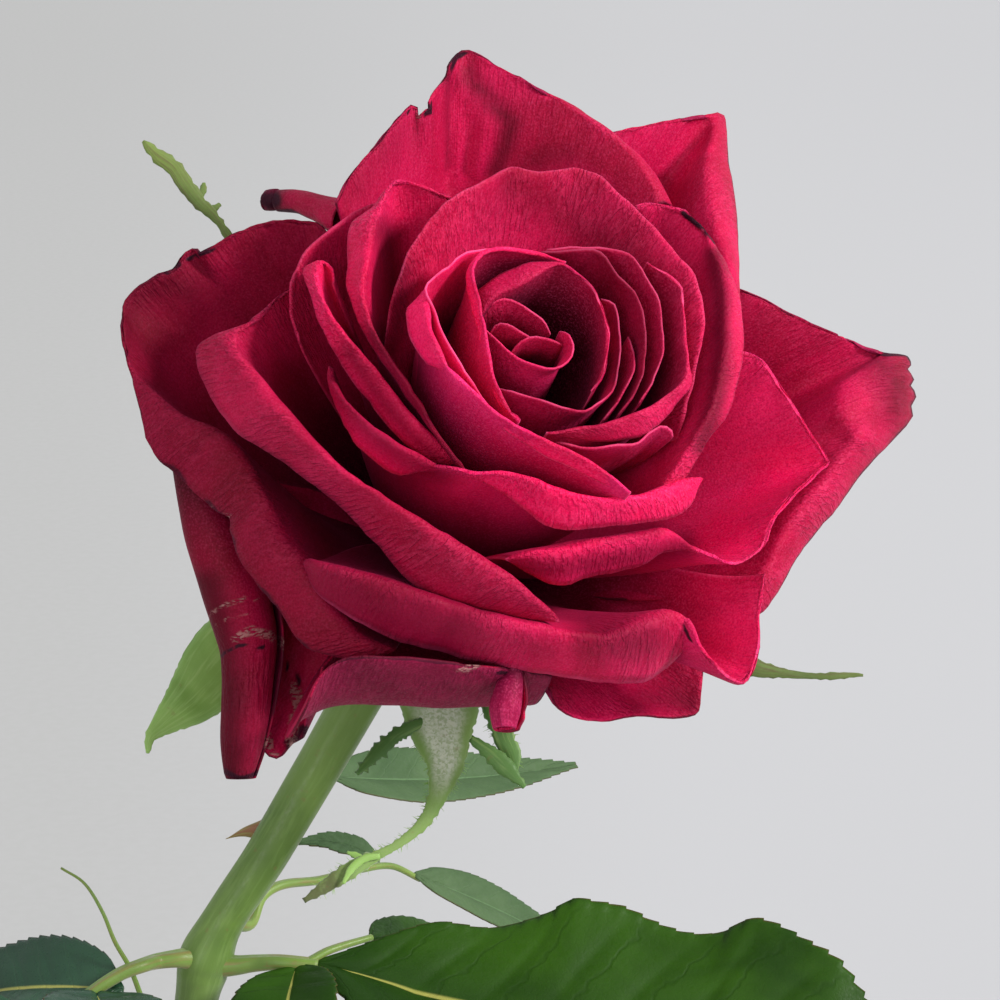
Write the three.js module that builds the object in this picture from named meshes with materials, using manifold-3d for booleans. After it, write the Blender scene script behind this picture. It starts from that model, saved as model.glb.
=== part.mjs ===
// A fully open red rose standing in a plain glazed bud vase.
// Millimetres, +Z up. The vase stands on Z = 0 with its axis on the Z axis.
import * as THREE from 'three';
import Module from 'manifold-3d';

const wasm = await Module();
wasm.setup();
const { Manifold, Mesh: SolidMesh } = wasm;

// ---------------------------------------------------------------- driving dimensions
const GAP = 0.3; // between neighbouring pieces
const VASE_HEIGHT = 150;
const VASE_FOOT_RADIUS = 27;
const VASE_BODY_RADIUS = 38;
const VASE_BODY_HEIGHT = 44; // height of the widest place
const VASE_NECK_RADIUS = 11.5;
const VASE_NECK_HEIGHT = 122;
const VASE_LIP_RADIUS = 15.5;
const VASE_WALL = 3.5;
const VASE_FLOOR = 5;
const WATER_LEVEL = 98;
const STEM_NECK_RADIUS = 3.8; // just under the hip
const STEM_RADIUS = 3.15;
const HIP_RADIUS = 6.2;
const HIP_HEIGHT = 13;
const PETAL_THICKNESS = 0.8;
const LEAF_THICKNESS = 0.8;
const SEPAL_THICKNESS = 0.9;
const SMALLEST_DETAIL = 0.35; // anything finer is smoothed out of fused solids
const TAU = 2 * Math.PI;

// ---------------------------------------------------------------- line of sight
// Places on the flower are sighted: how far across and down they stand in a square view of
// VIEW_SIZE steps, seen from VIEW_ELEVATION above the level, VIEW_DISTANCE from the heart.
const VIEW_SIZE = 1000;
const VIEW_ELEVATION = THREE.MathUtils.degToRad(15);
const VIEW_DISTANCE = 400;
const VIEW_STEP = 0.13; // millimetres per step at the heart
const HEART = new THREE.Vector3(58, -35, 292);
const HEART_SIGHT = { across: 533, down: 350 };
const HEART_HEIGHT = 46; // above the receptacle, along the flower's axis
const viewForward = new THREE.Vector3(0, Math.cos(VIEW_ELEVATION), -Math.sin(VIEW_ELEVATION));
const viewRight = new THREE.Vector3(1, 0, 0);
const viewUp = new THREE.Vector3().crossVectors(viewRight, viewForward);

/** Direction from the eye through a place in the view, one unit deep. */
function sightRay(across, down) {
  const scale = VIEW_STEP / VIEW_DISTANCE;
  return viewForward.clone()
    .addScaledVector(viewRight, (across - VIEW_SIZE / 2) * scale)
    .addScaledVector(viewUp, (VIEW_SIZE / 2 - down) * scale);
}
const eye = HEART.clone().addScaledVector(sightRay(HEART_SIGHT.across, HEART_SIGHT.down), -VIEW_DISTANCE);

// The flower's axis: how much it points right, up and towards the eye.
const flowerAxis = new THREE.Vector3()
  .addScaledVector(viewRight, 0.269)
  .addScaledVector(viewUp, 0.538)
  .addScaledVector(viewForward, -0.799)
  .normalize();
const receptacle = HEART.clone().addScaledVector(flowerAxis, -HEART_HEIGHT);
const flowerRight = viewRight.clone().addScaledVector(flowerAxis, -viewRight.dot(flowerAxis)).normalize();
const flowerBack = new THREE.Vector3().crossVectors(flowerAxis, flowerRight);

/** The place seen at (across, down), at a height above the receptacle. */
function onFlower(across, down, height) {
  const ray = sightRay(across, down);
  const level = receptacle.clone().addScaledVector(flowerAxis, height);
  const depth = level.sub(eye).dot(flowerAxis) / ray.dot(flowerAxis);
  return eye.clone().addScaledVector(ray, depth);
}

/** The place seen at (across, down), on the upright plane y. */
function onPlane(across, down, y) {
  const ray = sightRay(across, down);
  return eye.clone().addScaledVector(ray, (y - eye.y) / ray.y);
}

/** Unit vector straight out from the flower's axis, at an angle in radians. */
function outward(angle) {
  return flowerRight.clone().multiplyScalar(Math.cos(angle)).addScaledVector(flowerBack, Math.sin(angle));
}

/** Angle of a place around the flower's axis, in radians. */
function angleOf(point) {
  const arm = point.clone().sub(receptacle);
  return Math.atan2(arm.dot(flowerBack), arm.dot(flowerRight));
}

// ---------------------------------------------------------------- solids
/** A solid from shared vertices and triangles, turned right side out. */
function solidOf(vertices, triangles) {
  const vertProperties = new Float32Array(vertices.flatMap((v) => [v.x, v.y, v.z]));
  const build = (faces) => new Manifold(new SolidMesh({
    numProp: 3, vertProperties, triVerts: new Uint32Array(faces.flat()),
  }));
  const made = build(triangles);
  return made.volume() > 0 ? made : build(triangles.map(([a, b, c]) => [a, c, b]));
}

/** A thin blade: a grid of places thickened evenly to both sides of its surface. */
function blade(rows, thickness) {
  const height = rows.length;
  const width = rows[0].length;
  const front = [];
  const back = [];
  for (let i = 0; i < height; i += 1) {
    for (let j = 0; j < width; j += 1) {
      const along = rows[Math.min(i + 1, height - 1)][j].clone().sub(rows[Math.max(i - 1, 0)][j]);
      const across = rows[i][Math.min(j + 1, width - 1)].clone().sub(rows[i][Math.max(j - 1, 0)]);
      const normal = along.cross(across).normalize().multiplyScalar(thickness / 2);
      front.push(rows[i][j].clone().add(normal));
      back.push(rows[i][j].clone().sub(normal));
    }
  }
  const other = height * width;
  const triangles = [];
  for (let i = 0; i + 1 < height; i += 1) {
    for (let j = 0; j + 1 < width; j += 1) {
      const a = i * width + j;
      const [b, c, d] = [a + 1, a + width, a + width + 1];
      triangles.push([a, b, d], [a, d, c]);
      triangles.push([other + a, other + d, other + b], [other + a, other + c, other + d]);
    }
  }
  const wall = (a, b) => triangles.push([b, a, other + a], [b, other + a, other + b]);
  for (let j = 0; j + 1 < width; j += 1) {
    wall(j, j + 1);
    wall((height - 1) * width + j + 1, (height - 1) * width + j);
  }
  for (let i = 0; i + 1 < height; i += 1) {
    wall((i + 1) * width, i * width);
    wall(i * width + width - 1, (i + 1) * width + width - 1);
  }
  return solidOf([...front, ...back], triangles);
}

/** A round rod along a curve, its radius a function of the way along (0 to 1). */
function rod(curve, radiusAt, steps, sides) {
  const vertices = [];
  const triangles = [];
  let side = new THREE.Vector3(0, 1, 0);
  for (let i = 0; i <= steps; i += 1) {
    const tangent = curve.getTangentAt(i / steps);
    side = side.clone().addScaledVector(tangent, -side.dot(tangent)).normalize();
    const other = new THREE.Vector3().crossVectors(tangent, side);
    const centre = curve.getPointAt(i / steps);
    const radius = radiusAt(i / steps);
    for (let k = 0; k < sides; k += 1) {
      const angle = (k / sides) * TAU;
      vertices.push(centre.clone()
        .addScaledVector(side, radius * Math.cos(angle))
        .addScaledVector(other, radius * Math.sin(angle)));
    }
  }
  for (let i = 0; i < steps; i += 1) {
    for (let k = 0; k < sides; k += 1) {
      const a = i * sides + k;
      const b = i * sides + ((k + 1) % sides);
      triangles.push([a, b, b + sides], [a, b + sides, a + sides]);
    }
  }
  for (const [ring, turned] of [[0, true], [steps, false]]) {
    const hub = vertices.push(curve.getPointAt(ring / steps)) - 1;
    for (let k = 0; k < sides; k += 1) {
      const a = ring * sides + k;
      const b = ring * sides + ((k + 1) % sides);
      triangles.push(turned ? [hub, b, a] : [hub, a, b]);
    }
  }
  return solidOf(vertices, triangles);
}

/** A turned solid: an outline of (radius, height) that starts and ends on the axis. */
function turned(outline, sides, origin, axis) {
  const turn = new THREE.Quaternion().setFromUnitVectors(new THREE.Vector3(0, 0, 1), axis);
  const place = (radius, angle, height) => new THREE.Vector3(
    radius * Math.cos(angle), radius * Math.sin(angle), height,
  ).applyQuaternion(turn).add(origin);
  const vertices = [place(0, 0, outline[0].y), place(0, 0, outline[outline.length - 1].y)];
  const rings = outline.slice(1, -1);
  rings.forEach((p) => {
    for (let k = 0; k < sides; k += 1) vertices.push(place(p.x, (k / sides) * TAU, p.y));
  });
  const at = (ring, k) => 2 + ring * sides + (k % sides);
  const triangles = [];
  for (let k = 0; k < sides; k += 1) {
    triangles.push([0, at(0, k + 1), at(0, k)]);
    triangles.push([1, at(rings.length - 1, k), at(rings.length - 1, k + 1)]);
    for (let r = 0; r + 1 < rings.length; r += 1) {
      triangles.push([at(r, k), at(r, k + 1), at(r + 1, k + 1)], [at(r, k), at(r + 1, k + 1), at(r + 1, k)]);
    }
  }
  return solidOf(vertices, triangles);
}

/** An outline for turned(), from [radius, height] pairs. */
const outlineOf = (pairs) => pairs.map(([radius, height]) => new THREE.Vector2(radius, height));

/** Fuses solids into one body: enclosed hollows are filled and loose scraps dropped. */
function fuse(solids) {
  const bodies = Manifold.union(solids).simplify(SMALLEST_DETAIL).decompose();
  return bodies.reduce((best, body) => (body.volume() > best.volume() ? body : best));
}

/** A named mesh of a solid, with its own material. */
function node(name, solid, color, roughness, extra = {}) {
  const { vertProperties, triVerts } = solid.getMesh();
  const geometry = new THREE.BufferGeometry();
  geometry.setAttribute('position', new THREE.BufferAttribute(new Float32Array(vertProperties), 3));
  geometry.setIndex(new THREE.BufferAttribute(new Uint32Array(triVerts), 1));
  geometry.computeVertexNormals();
  const material = new THREE.MeshStandardMaterial({ color, roughness, metalness: 0, ...extra });
  material.name = name;
  const mesh = new THREE.Mesh(geometry, material);
  mesh.name = name;
  return mesh;
}

// ---------------------------------------------------------------- petals
// Every petal is sighted along its rim: [across, down, height], or, where the rim rolls over,
// the ridge of the roll and then its edge: [across, down, height, edge across, down, height].
// spread and lean are the petal's angles from the flower's axis at its root and at its rim.
// root is where it leaves the core: [height, radius, rows of places from there to the ridge].
const HEART_ROOT = [30, 3, 3];
const CUP_ROOT = [20, 5, 3];
const RING_ROOT = [9, 6, 3];
const SHOULDER_ROOT = [3.5, 6, 3];
const MIDDLE_ROOT = [2.5, 5.5, 4];
const GUARD_ROOT = [1.6, 5, 4];

const PETALS = {
  heart_scroll: { spread: 10, lean: -8, root: HEART_ROOT, rim: [
    [513, 352, 45], [521, 342, 46.5], [533, 337, 47], [547, 338, 47], [562, 345, 46]] },
  heart_fold: { spread: 12, lean: -6, root: HEART_ROOT, rim: [
    [491, 331, 46], [497, 324, 47], [508, 324, 47.5], [520, 331, 47], [532, 338, 46]] },
  heart_front: { spread: 14, lean: -4, root: HEART_ROOT, rim: [
    [484, 328, 46], [494, 337, 46], [511, 352, 46], [529, 363, 46.5], [547, 369, 47], [561, 367, 47.5],
    [570, 359, 48], [573, 346, 48], [570, 336, 47.5], [560, 331, 46]] },
  heart_back: { spread: 14, lean: -8, root: HEART_ROOT, rim: [
    [479, 322, 46.5], [482, 310, 47.5], [500, 299, 49], [512, 300, 49], [529, 309, 48.5],
    [544, 323, 47], [550, 335, 45]] },
  cup_back: { spread: 16, lean: -4, root: CUP_ROOT, rim: [
    [477, 318, 47], [482, 301, 48.5], [499, 285, 50], [517, 272, 51], [533, 263, 51.5], [555, 262, 52],
    [569, 268, 52], [586, 282, 51.5], [597, 298, 51], [604, 316, 50.5], [608, 337, 50],
    [607, 355, 49], [600, 378, 47.5], [590, 392, 46]] },
  cup_front: { spread: 16, lean: -2, root: CUP_ROOT, rim: [
    [499, 388, 45], [511, 392, 46], [533, 397, 46.5], [551, 404, 47], [568, 409, 47], [586, 408, 47],
    [600, 401, 47], [611, 391, 47.5], [619, 368, 48.5], [622, 345, 49], [619, 316, 49.5],
    [613, 303, 49.5], [601, 299, 49]] },
  cup_right_low: { spread: 17, lean: -1, root: CUP_ROOT, rim: [
    [605, 420, 45], [619, 405, 46.5], [629, 385, 48], [634, 369, 48.5], [633, 352, 48.5],
    [626, 337, 48]] },
  cup_right: { spread: 18, lean: -2, root: CUP_ROOT, rim: [
    [540, 253, 50], [565, 251, 51], [594, 250, 51.5], [606, 257, 51.5], [620, 275, 51.5],
    [633, 289, 51], [642, 307, 51], [646, 330, 50.5], [645, 351, 50], [642, 373, 49],
    [633, 391, 48], [619, 414, 46]] },
  cup_far: { spread: 19, lean: -1, root: CUP_ROOT, rim: [
    [547, 250, 50], [588, 246, 51], [619, 250, 51.5], [633, 254, 51.5], [639, 264, 51.5],
    [651, 284, 51], [660, 307, 50.5], [663, 330, 50], [662, 355, 49.5], [654, 379, 48.5],
    [640, 402, 47]] },
  ring_right: { spread: 21, lean: 4, root: RING_ROOT, rim: [
    [645, 265, 50], [663, 276, 50.5], [679, 289, 50.5], [681, 301, 50.5], [684, 323, 50],
    [685, 344, 50], [687, 366, 49.5], [683, 382, 49, 690, 384, 47.5], [669, 396, 48.5, 676, 404, 46],
    [651, 410, 48, 660, 422, 45], [628, 419, 47.5, 645, 434, 44], [601, 425, 47, 625, 440, 43.5],
    [576, 430, 46.5, 592, 441, 43.5], [546, 435, 45.5]] },
  ring_low: { spread: 22, lean: 8, root: RING_ROOT, rim: [
    [551, 440, 43.5], [565, 444, 43.5], [592, 448, 43.5], [619, 445, 44], [637, 442, 44],
    [651, 432, 44.5], [662, 426, 44.5], [672, 430, 44], [673, 436, 43]] },
  ring_inner_left: { spread: 17, lean: -3, root: RING_ROOT, rim: [
    [565, 264, 50.5], [547, 257, 51], [520, 250, 51.5], [494, 249, 51.5], [478, 253, 51.5],
    [468, 272, 51], [472, 301, 50], [478, 330, 49], [485, 355, 48], [494, 382, 47], [501, 401, 46.5],
    [511, 414, 46], [519, 423, 45]] },
  ring_left: { spread: 19, lean: 0, root: RING_ROOT, rim: [
    [490, 249, 50], [479, 250, 50.5], [466, 253, 51], [451, 263, 51], [433, 278, 51], [427, 289, 51],
    [438, 317, 50], [449, 345, 49], [469, 378, 48], [490, 405, 46.5], [504, 419, 46]] },
  ring_front: { spread: 22, lean: 6, root: RING_ROOT, rim: [
    [432, 287, 48], [420, 294, 49], [414, 306, 49.5, 408, 306, 48.5], [424, 332, 49.5, 412, 332, 47.5],
    [440, 356, 49, 430, 360, 47], [461, 386, 48.5, 452, 390, 46.5], [489, 410, 48, 478, 416, 46],
    [517, 428, 47.5, 508, 434, 45], [552, 447, 47, 540, 454, 44], [590, 468, 46, 580, 474, 43.5],
    [612, 481, 45, 605, 485, 43], [630, 493, 43]] },
  back_tall: { spread: 24, lean: 22, root: SHOULDER_ROOT, rim: [
    [386, 350, 38], [386, 329, 41], [391, 304, 44], [399, 276, 47], [417, 236, 49.5], [437, 212, 50],
    [451, 199, 50], [480, 182, 50], [510, 166, 50], [525, 167, 50], [553, 170, 50], [577, 168, 50],
    [600, 176, 50.5], [640, 212, 50.5], [672, 249, 50.5], [690, 271, 50.5], [699, 289, 50],
    [703, 309, 49.5], [703, 332, 48.5], [698, 360, 47], [690, 400, 44], [680, 440, 40]] },
  right_tall: { spread: 26, lean: 20, root: SHOULDER_ROOT, rim: [
    [634, 209, 45.5], [652, 206, 46], [672, 209, 46.5], [690, 218, 47], [707, 232, 47.5],
    [724, 262, 47.5], [737, 291, 47], [742, 330, 46.5], [740, 368, 45.5], [727, 414, 44],
    [702, 449, 42], [683, 478, 40], [655, 500, 37]] },
  left_tall: { spread: 26, lean: 24, root: SHOULDER_ROOT, rim: [
    [450, 198, 46], [428, 190, 46.5], [409, 184, 46.5], [394, 182, 46.5], [382, 205, 46.5, 372, 207, 45],
    [373, 235, 46.5, 351, 229, 44], [366, 270, 46, 345, 270, 43], [365, 300, 45.5, 349, 298, 43],
    [376, 332, 44.5, 367, 335, 42.5], [397, 367, 43.5, 388, 370, 42], [422, 408, 42.5, 416, 411, 41],
    [447, 448, 41], [464, 471, 40]] },
  left_second: { spread: 28, lean: 30, root: SHOULDER_ROOT, rim: [
    [334, 285, 41], [333, 272, 41.5], [322, 262, 41.5], [318, 285, 42, 305, 270, 39.5],
    [329, 312, 42.5, 314, 300, 39.5], [345, 333, 42.5, 325, 333, 39], [370, 363, 42, 346, 372, 38.5],
    [392, 392, 41.5, 368, 400, 38], [411, 415, 41, 390, 427, 38], [430, 436, 40, 414, 450, 37.5],
    [455, 463, 38.5, 445, 468, 37]] },
  left_third: { spread: 32, lean: 26, root: MIDDLE_ROOT, rim: [
    [300, 340, 33], [290, 296, 37], [302, 254, 39.5], [318, 238, 40.5], [343, 220, 41.5],
    [362, 209, 42], [380, 204, 42]] },
  front_wide: { spread: 50, lean: 26, root: SHOULDER_ROOT, rim: [
    [331, 368, 36.5], [334, 385, 37.5, 331, 392, 36], [355, 412, 39, 343, 421, 36],
    [388, 437, 40, 364, 450, 36], [416, 455, 40.5, 396, 474, 36], [438, 466, 41, 424, 471, 39],
    [458, 471, 41], [480, 473, 41, 478, 480, 39], [504, 473, 41.5, 502, 494, 37.5],
    [530, 478, 41.5, 522, 508, 36.5], [556, 487, 41.5, 548, 526, 36], [580, 495, 41.5, 585, 528, 36],
    [606, 499, 41, 612, 525, 36], [632, 497, 40.5, 645, 522, 36], [660, 489, 39.5, 675, 516, 35.5],
    [685, 480, 38.5, 692, 502, 35.5], [701, 479, 37]] },
  left_band: { spread: 62, lean: 36, root: MIDDLE_ROOT, rim: [
    [300, 300, 33], [291, 291, 34], [270, 308, 34], [250, 324, 34], [234, 343, 34, 200, 344, 29],
    [258, 376, 34.5, 202, 377, 28], [288, 412, 35.5, 231, 425, 28.5], [325, 452, 36.5, 275, 457, 29.5],
    [371, 490, 37, 328, 494, 30], [420, 520, 37, 374, 540, 30], [470, 549, 36, 418, 587, 29],
    [515, 581, 34, 470, 607, 28], [545, 607, 31.5, 520, 619, 28], [558, 620, 30]] },
  right_wide: { spread: 62, lean: 36, root: MIDDLE_ROOT, rim: [
    [735, 352, 36], [750, 356, 35.5], [765, 368, 35], [780, 390, 33], [794, 412, 32.5],
    [813, 439, 31.5], [827, 462, 30], [815, 473, 30], [798, 488, 30.5], [782, 505, 30.5],
    [769, 525, 30], [763, 545, 29], [749, 558, 28.5], [730, 564, 28.5], [707, 555, 30],
    [684, 543, 32, 682, 549, 31], [665, 530, 34, 662, 552, 31], [638, 534, 34.5, 638, 567, 29.5],
    [600, 541, 34.5, 598, 577, 29], [560, 549, 34, 560, 584, 28.5], [530, 554, 33.5, 528, 573, 29.5],
    [505, 560, 32]] },
  bottom_band: { spread: 70, lean: 40, root: MIDDLE_ROOT, rim: [
    [306, 560, 24, 308, 566, 22.5], [320, 563, 27, 314, 584, 22.5], [342, 569, 28.5, 330, 602, 22.5],
    [378, 579, 29.5, 356, 621, 22.5],
    [422, 592, 30, 400, 642, 22.5], [480, 613, 30, 460, 656, 22], [540, 625, 29.5, 525, 670, 21.5],
    [600, 631, 29, 588, 679, 21], [645, 616, 29, 640, 682, 20.5], [668, 611, 28.5, 668, 664, 21],
    [684, 620, 28, 690, 643, 24], [699, 646, 26.5], [714, 665, 25], [730, 679, 23.5],
    [742, 683, 22.5], [753, 668, 22.5], [757, 640, 24], [759, 612, 25.5], [765, 575, 27]] },
  guard_left: { spread: 80, lean: 46, root: GUARD_ROOT, rim: [
    [330, 240, 31], [317, 225, 31], [285, 222, 30.5], [250, 230, 28.5], [227, 240, 27], [200, 255, 25.5],
    [195, 249, 25], [184, 256, 24.5], [174, 272, 23.5], [140, 288, 21.5], [126, 303, 20.5], [125, 330, 20],
    [131, 368, 19.5], [158, 396, 20.5, 138, 406, 19], [186, 418, 21.5, 148, 442, 18],
    [214, 428, 22.5, 161, 460, 17.5], [236, 445, 23, 176, 473, 17], [252, 468, 23.5, 202, 499, 17.5],
    [261, 487, 23.5, 218, 511, 18], [268, 500, 23.5, 231, 517, 18.5], [275, 513, 23, 232, 530, 18.5],
    [290, 540, 22.5, 241, 560, 18], [308, 566, 22, 260, 589, 17.5], [330, 598, 21, 282, 615, 17],
    [352, 626, 20, 302, 643, 16], [374, 643, 19.5, 332, 655, 16.5], [396, 650, 19, 366, 660, 17]] },
  guard_low_left: { spread: 75, lean: 85, root: GUARD_ROOT, rim: [
    [190, 470, 12], [208, 520, 8], [224, 570, 4], [238, 620, 0], [248, 680, -4], [254, 725, -7],
    [264, 750, -8], [278, 758, -8], [290, 745, -6], [302, 738, -4], [306, 715, 0], [316, 690, 4],
    [322, 668, 8]] },
  guard_low: { spread: 82, lean: -2, root: GUARD_ROOT, rim: [
    [307, 706, 17], [321, 675, 20], [340, 661, 22], [365, 656, 24], [400, 657, 24], [430, 660, 24],
    [460, 664, 23.5], [490, 668, 22.5], [512, 668, 21], [535, 672, 19], [552, 676, 17]] },
  guard_low_right: { spread: 84, lean: 72, root: GUARD_ROOT, rim: [
    [551, 690, 8], [555, 704, 7.5], [575, 717, 7], [598, 721, 7], [626, 716, 8], [650, 716, 8.5],
    [672, 717, 8.5], [696, 712, 9], [700, 690, 11], [703, 665, 13]] },
  guard_right: { spread: 80, lean: 48, root: GUARD_ROOT, rim: [
    [738, 290, 36], [774, 309, 35], [812, 327, 33.5], [850, 343, 32], [879, 355, 31],
    [868, 368, 31.5, 908, 356, 27], [850, 385, 32, 910, 378, 25], [846, 402, 32, 915, 392, 24],
    [848, 420, 31, 909, 420, 24], [846, 438, 30, 884, 447, 24.5], [832, 462, 29, 861, 472, 24],
    [812, 487, 28, 838, 505, 23], [790, 518, 27, 817, 533, 22], [772, 548, 25, 797, 559, 21],
    [754, 580, 23, 768, 602, 20], [738, 600, 22, 750, 618, 19]] },
  guard_top_right: { spread: 76, lean: 30, root: GUARD_ROOT, rim: [
    [600, 150, 43], [612, 135, 43], [655, 126, 42.5], [706, 118, 42], [712, 128, 42, 722, 116, 40],
    [704, 160, 42, 727, 151, 38.5], [704, 200, 42, 732, 190, 38], [712, 235, 42, 737, 240, 38],
    [725, 275, 42, 739, 291, 39]] },
  guard_top: { spread: 72, lean: 26, root: GUARD_ROOT, rim: [
    [337, 207, 39], [347, 186, 40], [358, 170, 41], [375, 148, 41.5], [393, 126, 42], [408, 111, 42],
    [419, 108, 42], [431, 108, 42.5], [434, 96, 42.5], [446, 81, 43], [449, 68, 43], [456, 56, 43],
    [467, 53, 43], [480, 59, 43.5], [515, 77, 44], [540, 91, 44.5], [563, 104, 45, 564, 100, 44.5],
    [590, 122, 45.5, 593, 118, 44.5], [612, 140, 45.5, 618, 138, 44.5], [634, 160, 45.5, 642, 158, 44],
    [648, 182, 45, 660, 181, 43.5], [658, 208, 44, 672, 207, 42.5]] },
};
// Petals, or parts of them, that are rolled up: [across, down, height, radius] along each roll.
const ROLLS = {
  low_left: [[186, 440, 14, 2.4], [206, 512, 11.5, 3.3], [222, 560, 9, 3.9], [247, 642, 2.5, 4.4],
    [248, 672, 0, 3.9], [244, 738, -5, 3.2], [244, 776, -8, 1.5]],
  low_drip: [[513, 664, 21, 0.9], [514, 676, 20, 1], [508, 712, 18, 2.3], [507, 726, 17.4, 1.7]],
  curled_tip: [[268, 201, 22, 1.25], [284, 199, 24, 1.35], [322, 208, 30, 1.9], [348, 219, 33, 2.6]],
};
const ROLL_SIDES = 8;
const ROLL_STEPS = 3; // for each place
const ROLL_ROWS = 1; // from ridge to edge
const REACH = 0.38; // how far each end of a petal's side profile keeps its own direction
const ROLL_BULGE = 0.35; // how far a roll swings past its ridge
const ROOT_WIDTH = 0.75; // part of the rim's angle that the root takes
const ROOT_FLARE = 1.0; // how much wider than its root a petal sets out

/** Grid of places on a petal: rows from root to edge, one column for each rim place. */
function petalGrid({ spread, lean, root: [rootHeight, rootRadius, rows], rim }) {
  const ridges = rim.map(([across, down, height]) => onFlower(across, down, height));
  const edges = rim.map(([across, down, height, ...edge]) => (
    edge.length ? onFlower(...edge) : onFlower(across, down, height)));
  const rolled = rim.some((place) => place.length > 3);
  const angles = ridges.map(angleOf);
  for (let j = 1; j < angles.length; j += 1) {
    while (angles[j] - angles[j - 1] > Math.PI) angles[j] -= TAU;
    while (angles[j] - angles[j - 1] < -Math.PI) angles[j] += TAU;
  }
  const [first, last] = [angles[0], angles[angles.length - 1]];
  const middle = (first + last) / 2;
  const [cosSpread, sinSpread] = [Math.cos(spread * TAU / 360), Math.sin(spread * TAU / 360)];
  const [cosLean, sinLean] = [Math.cos(lean * TAU / 360), Math.sin(lean * TAU / 360)];
  const columns = ridges.map((ridge, j) => {
    const even = first + (last - first) * (j / (ridges.length - 1));
    const rootOut = outward(middle + (even - middle) * ROOT_WIDTH);
    const start = receptacle.clone().addScaledVector(flowerAxis, rootHeight).addScaledVector(rootOut, rootRadius);
    const flare = ROOT_FLARE * (1 - Math.abs(last - first) / TAU);
    const startOut = outward(even + (even - middle) * flare);
    const startWay = flowerAxis.clone().multiplyScalar(cosSpread).addScaledVector(startOut, sinSpread);
    const endWay = flowerAxis.clone().multiplyScalar(cosLean).addScaledVector(outward(angles[j]), sinLean);
    const reach = REACH * start.distanceTo(ridge);
    const side = new THREE.CubicBezierCurve3(
      start,
      start.clone().addScaledVector(startWay, reach),
      ridge.clone().addScaledVector(endWay, -reach),
      ridge,
    );
    const places = side.getPoints(rows);
    if (rolled) {
      const edge = edges[j];
      const bulge = Math.max(ridge.distanceTo(edge), 0.8) * ROLL_BULGE;
      const roll = new THREE.QuadraticBezierCurve3(ridge, ridge.clone().addScaledVector(endWay, bulge), edge);
      const end = ridge.distanceTo(edge) > 0.1 ? roll : new THREE.LineCurve3(ridge, ridge.clone().addScaledVector(endWay, 0.5));
      places.push(...end.getPoints(ROLL_ROWS).slice(1));
    }
    return places;
  });
  return columns[0].map((_, i) => columns.map((column) => column[i]));
}

/** A rolled-up petal. */
function roll(places) {
  const curve = new THREE.CatmullRomCurve3(places.map(([across, down, height]) => onFlower(across, down, height)));
  const radii = new THREE.SplineCurve(places.map((place, i) => new THREE.Vector2(i / (places.length - 1), place[3])));
  return rod(curve, (along) => radii.getPoint(along).y, ROLL_STEPS * places.length, ROLL_SIDES);
}

// The core that the petals stand out of: its outline as [radius, height above the receptacle].
const CORE_OUTLINE = [[0, 0], [4.5, 0], [8, 2.5], [11.5, 8], [13, 16], [12, 26], [8, 33], [3.5, 37], [0, 37]];
const CORE_SIDES = 14;

function bloom() {
  const petals = Object.values(PETALS).map((petal) => blade(petalGrid(petal), PETAL_THICKNESS));
  const core = turned(outlineOf(CORE_OUTLINE), CORE_SIDES, receptacle, flowerAxis);
  return node('bloom', fuse([core, ...petals, ...Object.values(ROLLS).map(roll)]), 0xb01238, 0.55);
}

// ---------------------------------------------------------------- stem
const NODE_SIGHT = { across: 206, down: 958, y: 0 }; // the leafy node
const STEM_SIGHT = { across: 335, down: 738, y: 7 }; // where the stem goes behind the petals
const hipFoot = receptacle.clone().addScaledVector(flowerAxis, -HIP_HEIGHT - GAP);
const leafNode = onPlane(NODE_SIGHT.across, NODE_SIGHT.down, NODE_SIGHT.y);
const upperStem = onPlane(STEM_SIGHT.across, STEM_SIGHT.down, STEM_SIGHT.y);
const stemCurve = new THREE.CatmullRomCurve3([
  new THREE.Vector3(-8, 0, VASE_FLOOR + GAP + 0.6),
  new THREE.Vector3(-4.6, 0, 55),
  new THREE.Vector3(-1.6, 0, 100),
  new THREE.Vector3(1.4, 0, 132),
  new THREE.Vector3(5.4, 0, 160),
  leafNode,
  leafNode.clone().lerp(upperStem, 0.5),
  upperStem,
  hipFoot.clone().addScaledVector(flowerAxis, -5),
  hipFoot,
]);
const STEM_STEPS = 26;
const STEM_SIDES = 12;
const stemLength = stemCurve.getLength();
const NODE_AT = 0.733; // the leafy node's place along the stem, 0 to 1
const NODE_SWELL = 0.9; // how much the stem swells there
const NODE_SPREAD = 4; // over what length, up and down

/** Radius of the stem at a place along it, 0 to 1. */
function stemRadius(along) {
  const fromNode = ((along - NODE_AT) * stemLength) / NODE_SPREAD;
  const towardsNeck = THREE.MathUtils.smoothstep(along, NODE_AT, 1);
  return STEM_RADIUS + (STEM_NECK_RADIUS - STEM_RADIUS) * towardsNeck + NODE_SWELL * Math.exp(-fromNode * fromNode);
}

// Thorns: place along the stem, and which way round it they point (radians, 0 = to the right).
const THORNS = [[0.82, 3.0], [0.69, 0.4], [0.63, 3.6], [0.585, 5.3]];
const THORN_LENGTH = 4.5;
const THORN_ROOT = 1; // how deep it stands in the stem
const THORN_DROOP = 0.25;
const THORN_OUTLINE = [[0, 0], [1.5, 0], [0.95, 1.5], [0.35, THORN_LENGTH * 0.75], [0, THORN_LENGTH + THORN_ROOT]];
const THORN_SIDES = 6;

function thorn([along, angle]) {
  const side = new THREE.Vector3(Math.cos(angle), Math.sin(angle), -THORN_DROOP).normalize();
  const foot = stemCurve.getPointAt(along).addScaledVector(side, stemRadius(along) - THORN_ROOT);
  return turned(outlineOf(THORN_OUTLINE), THORN_SIDES, foot, side);
}

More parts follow.
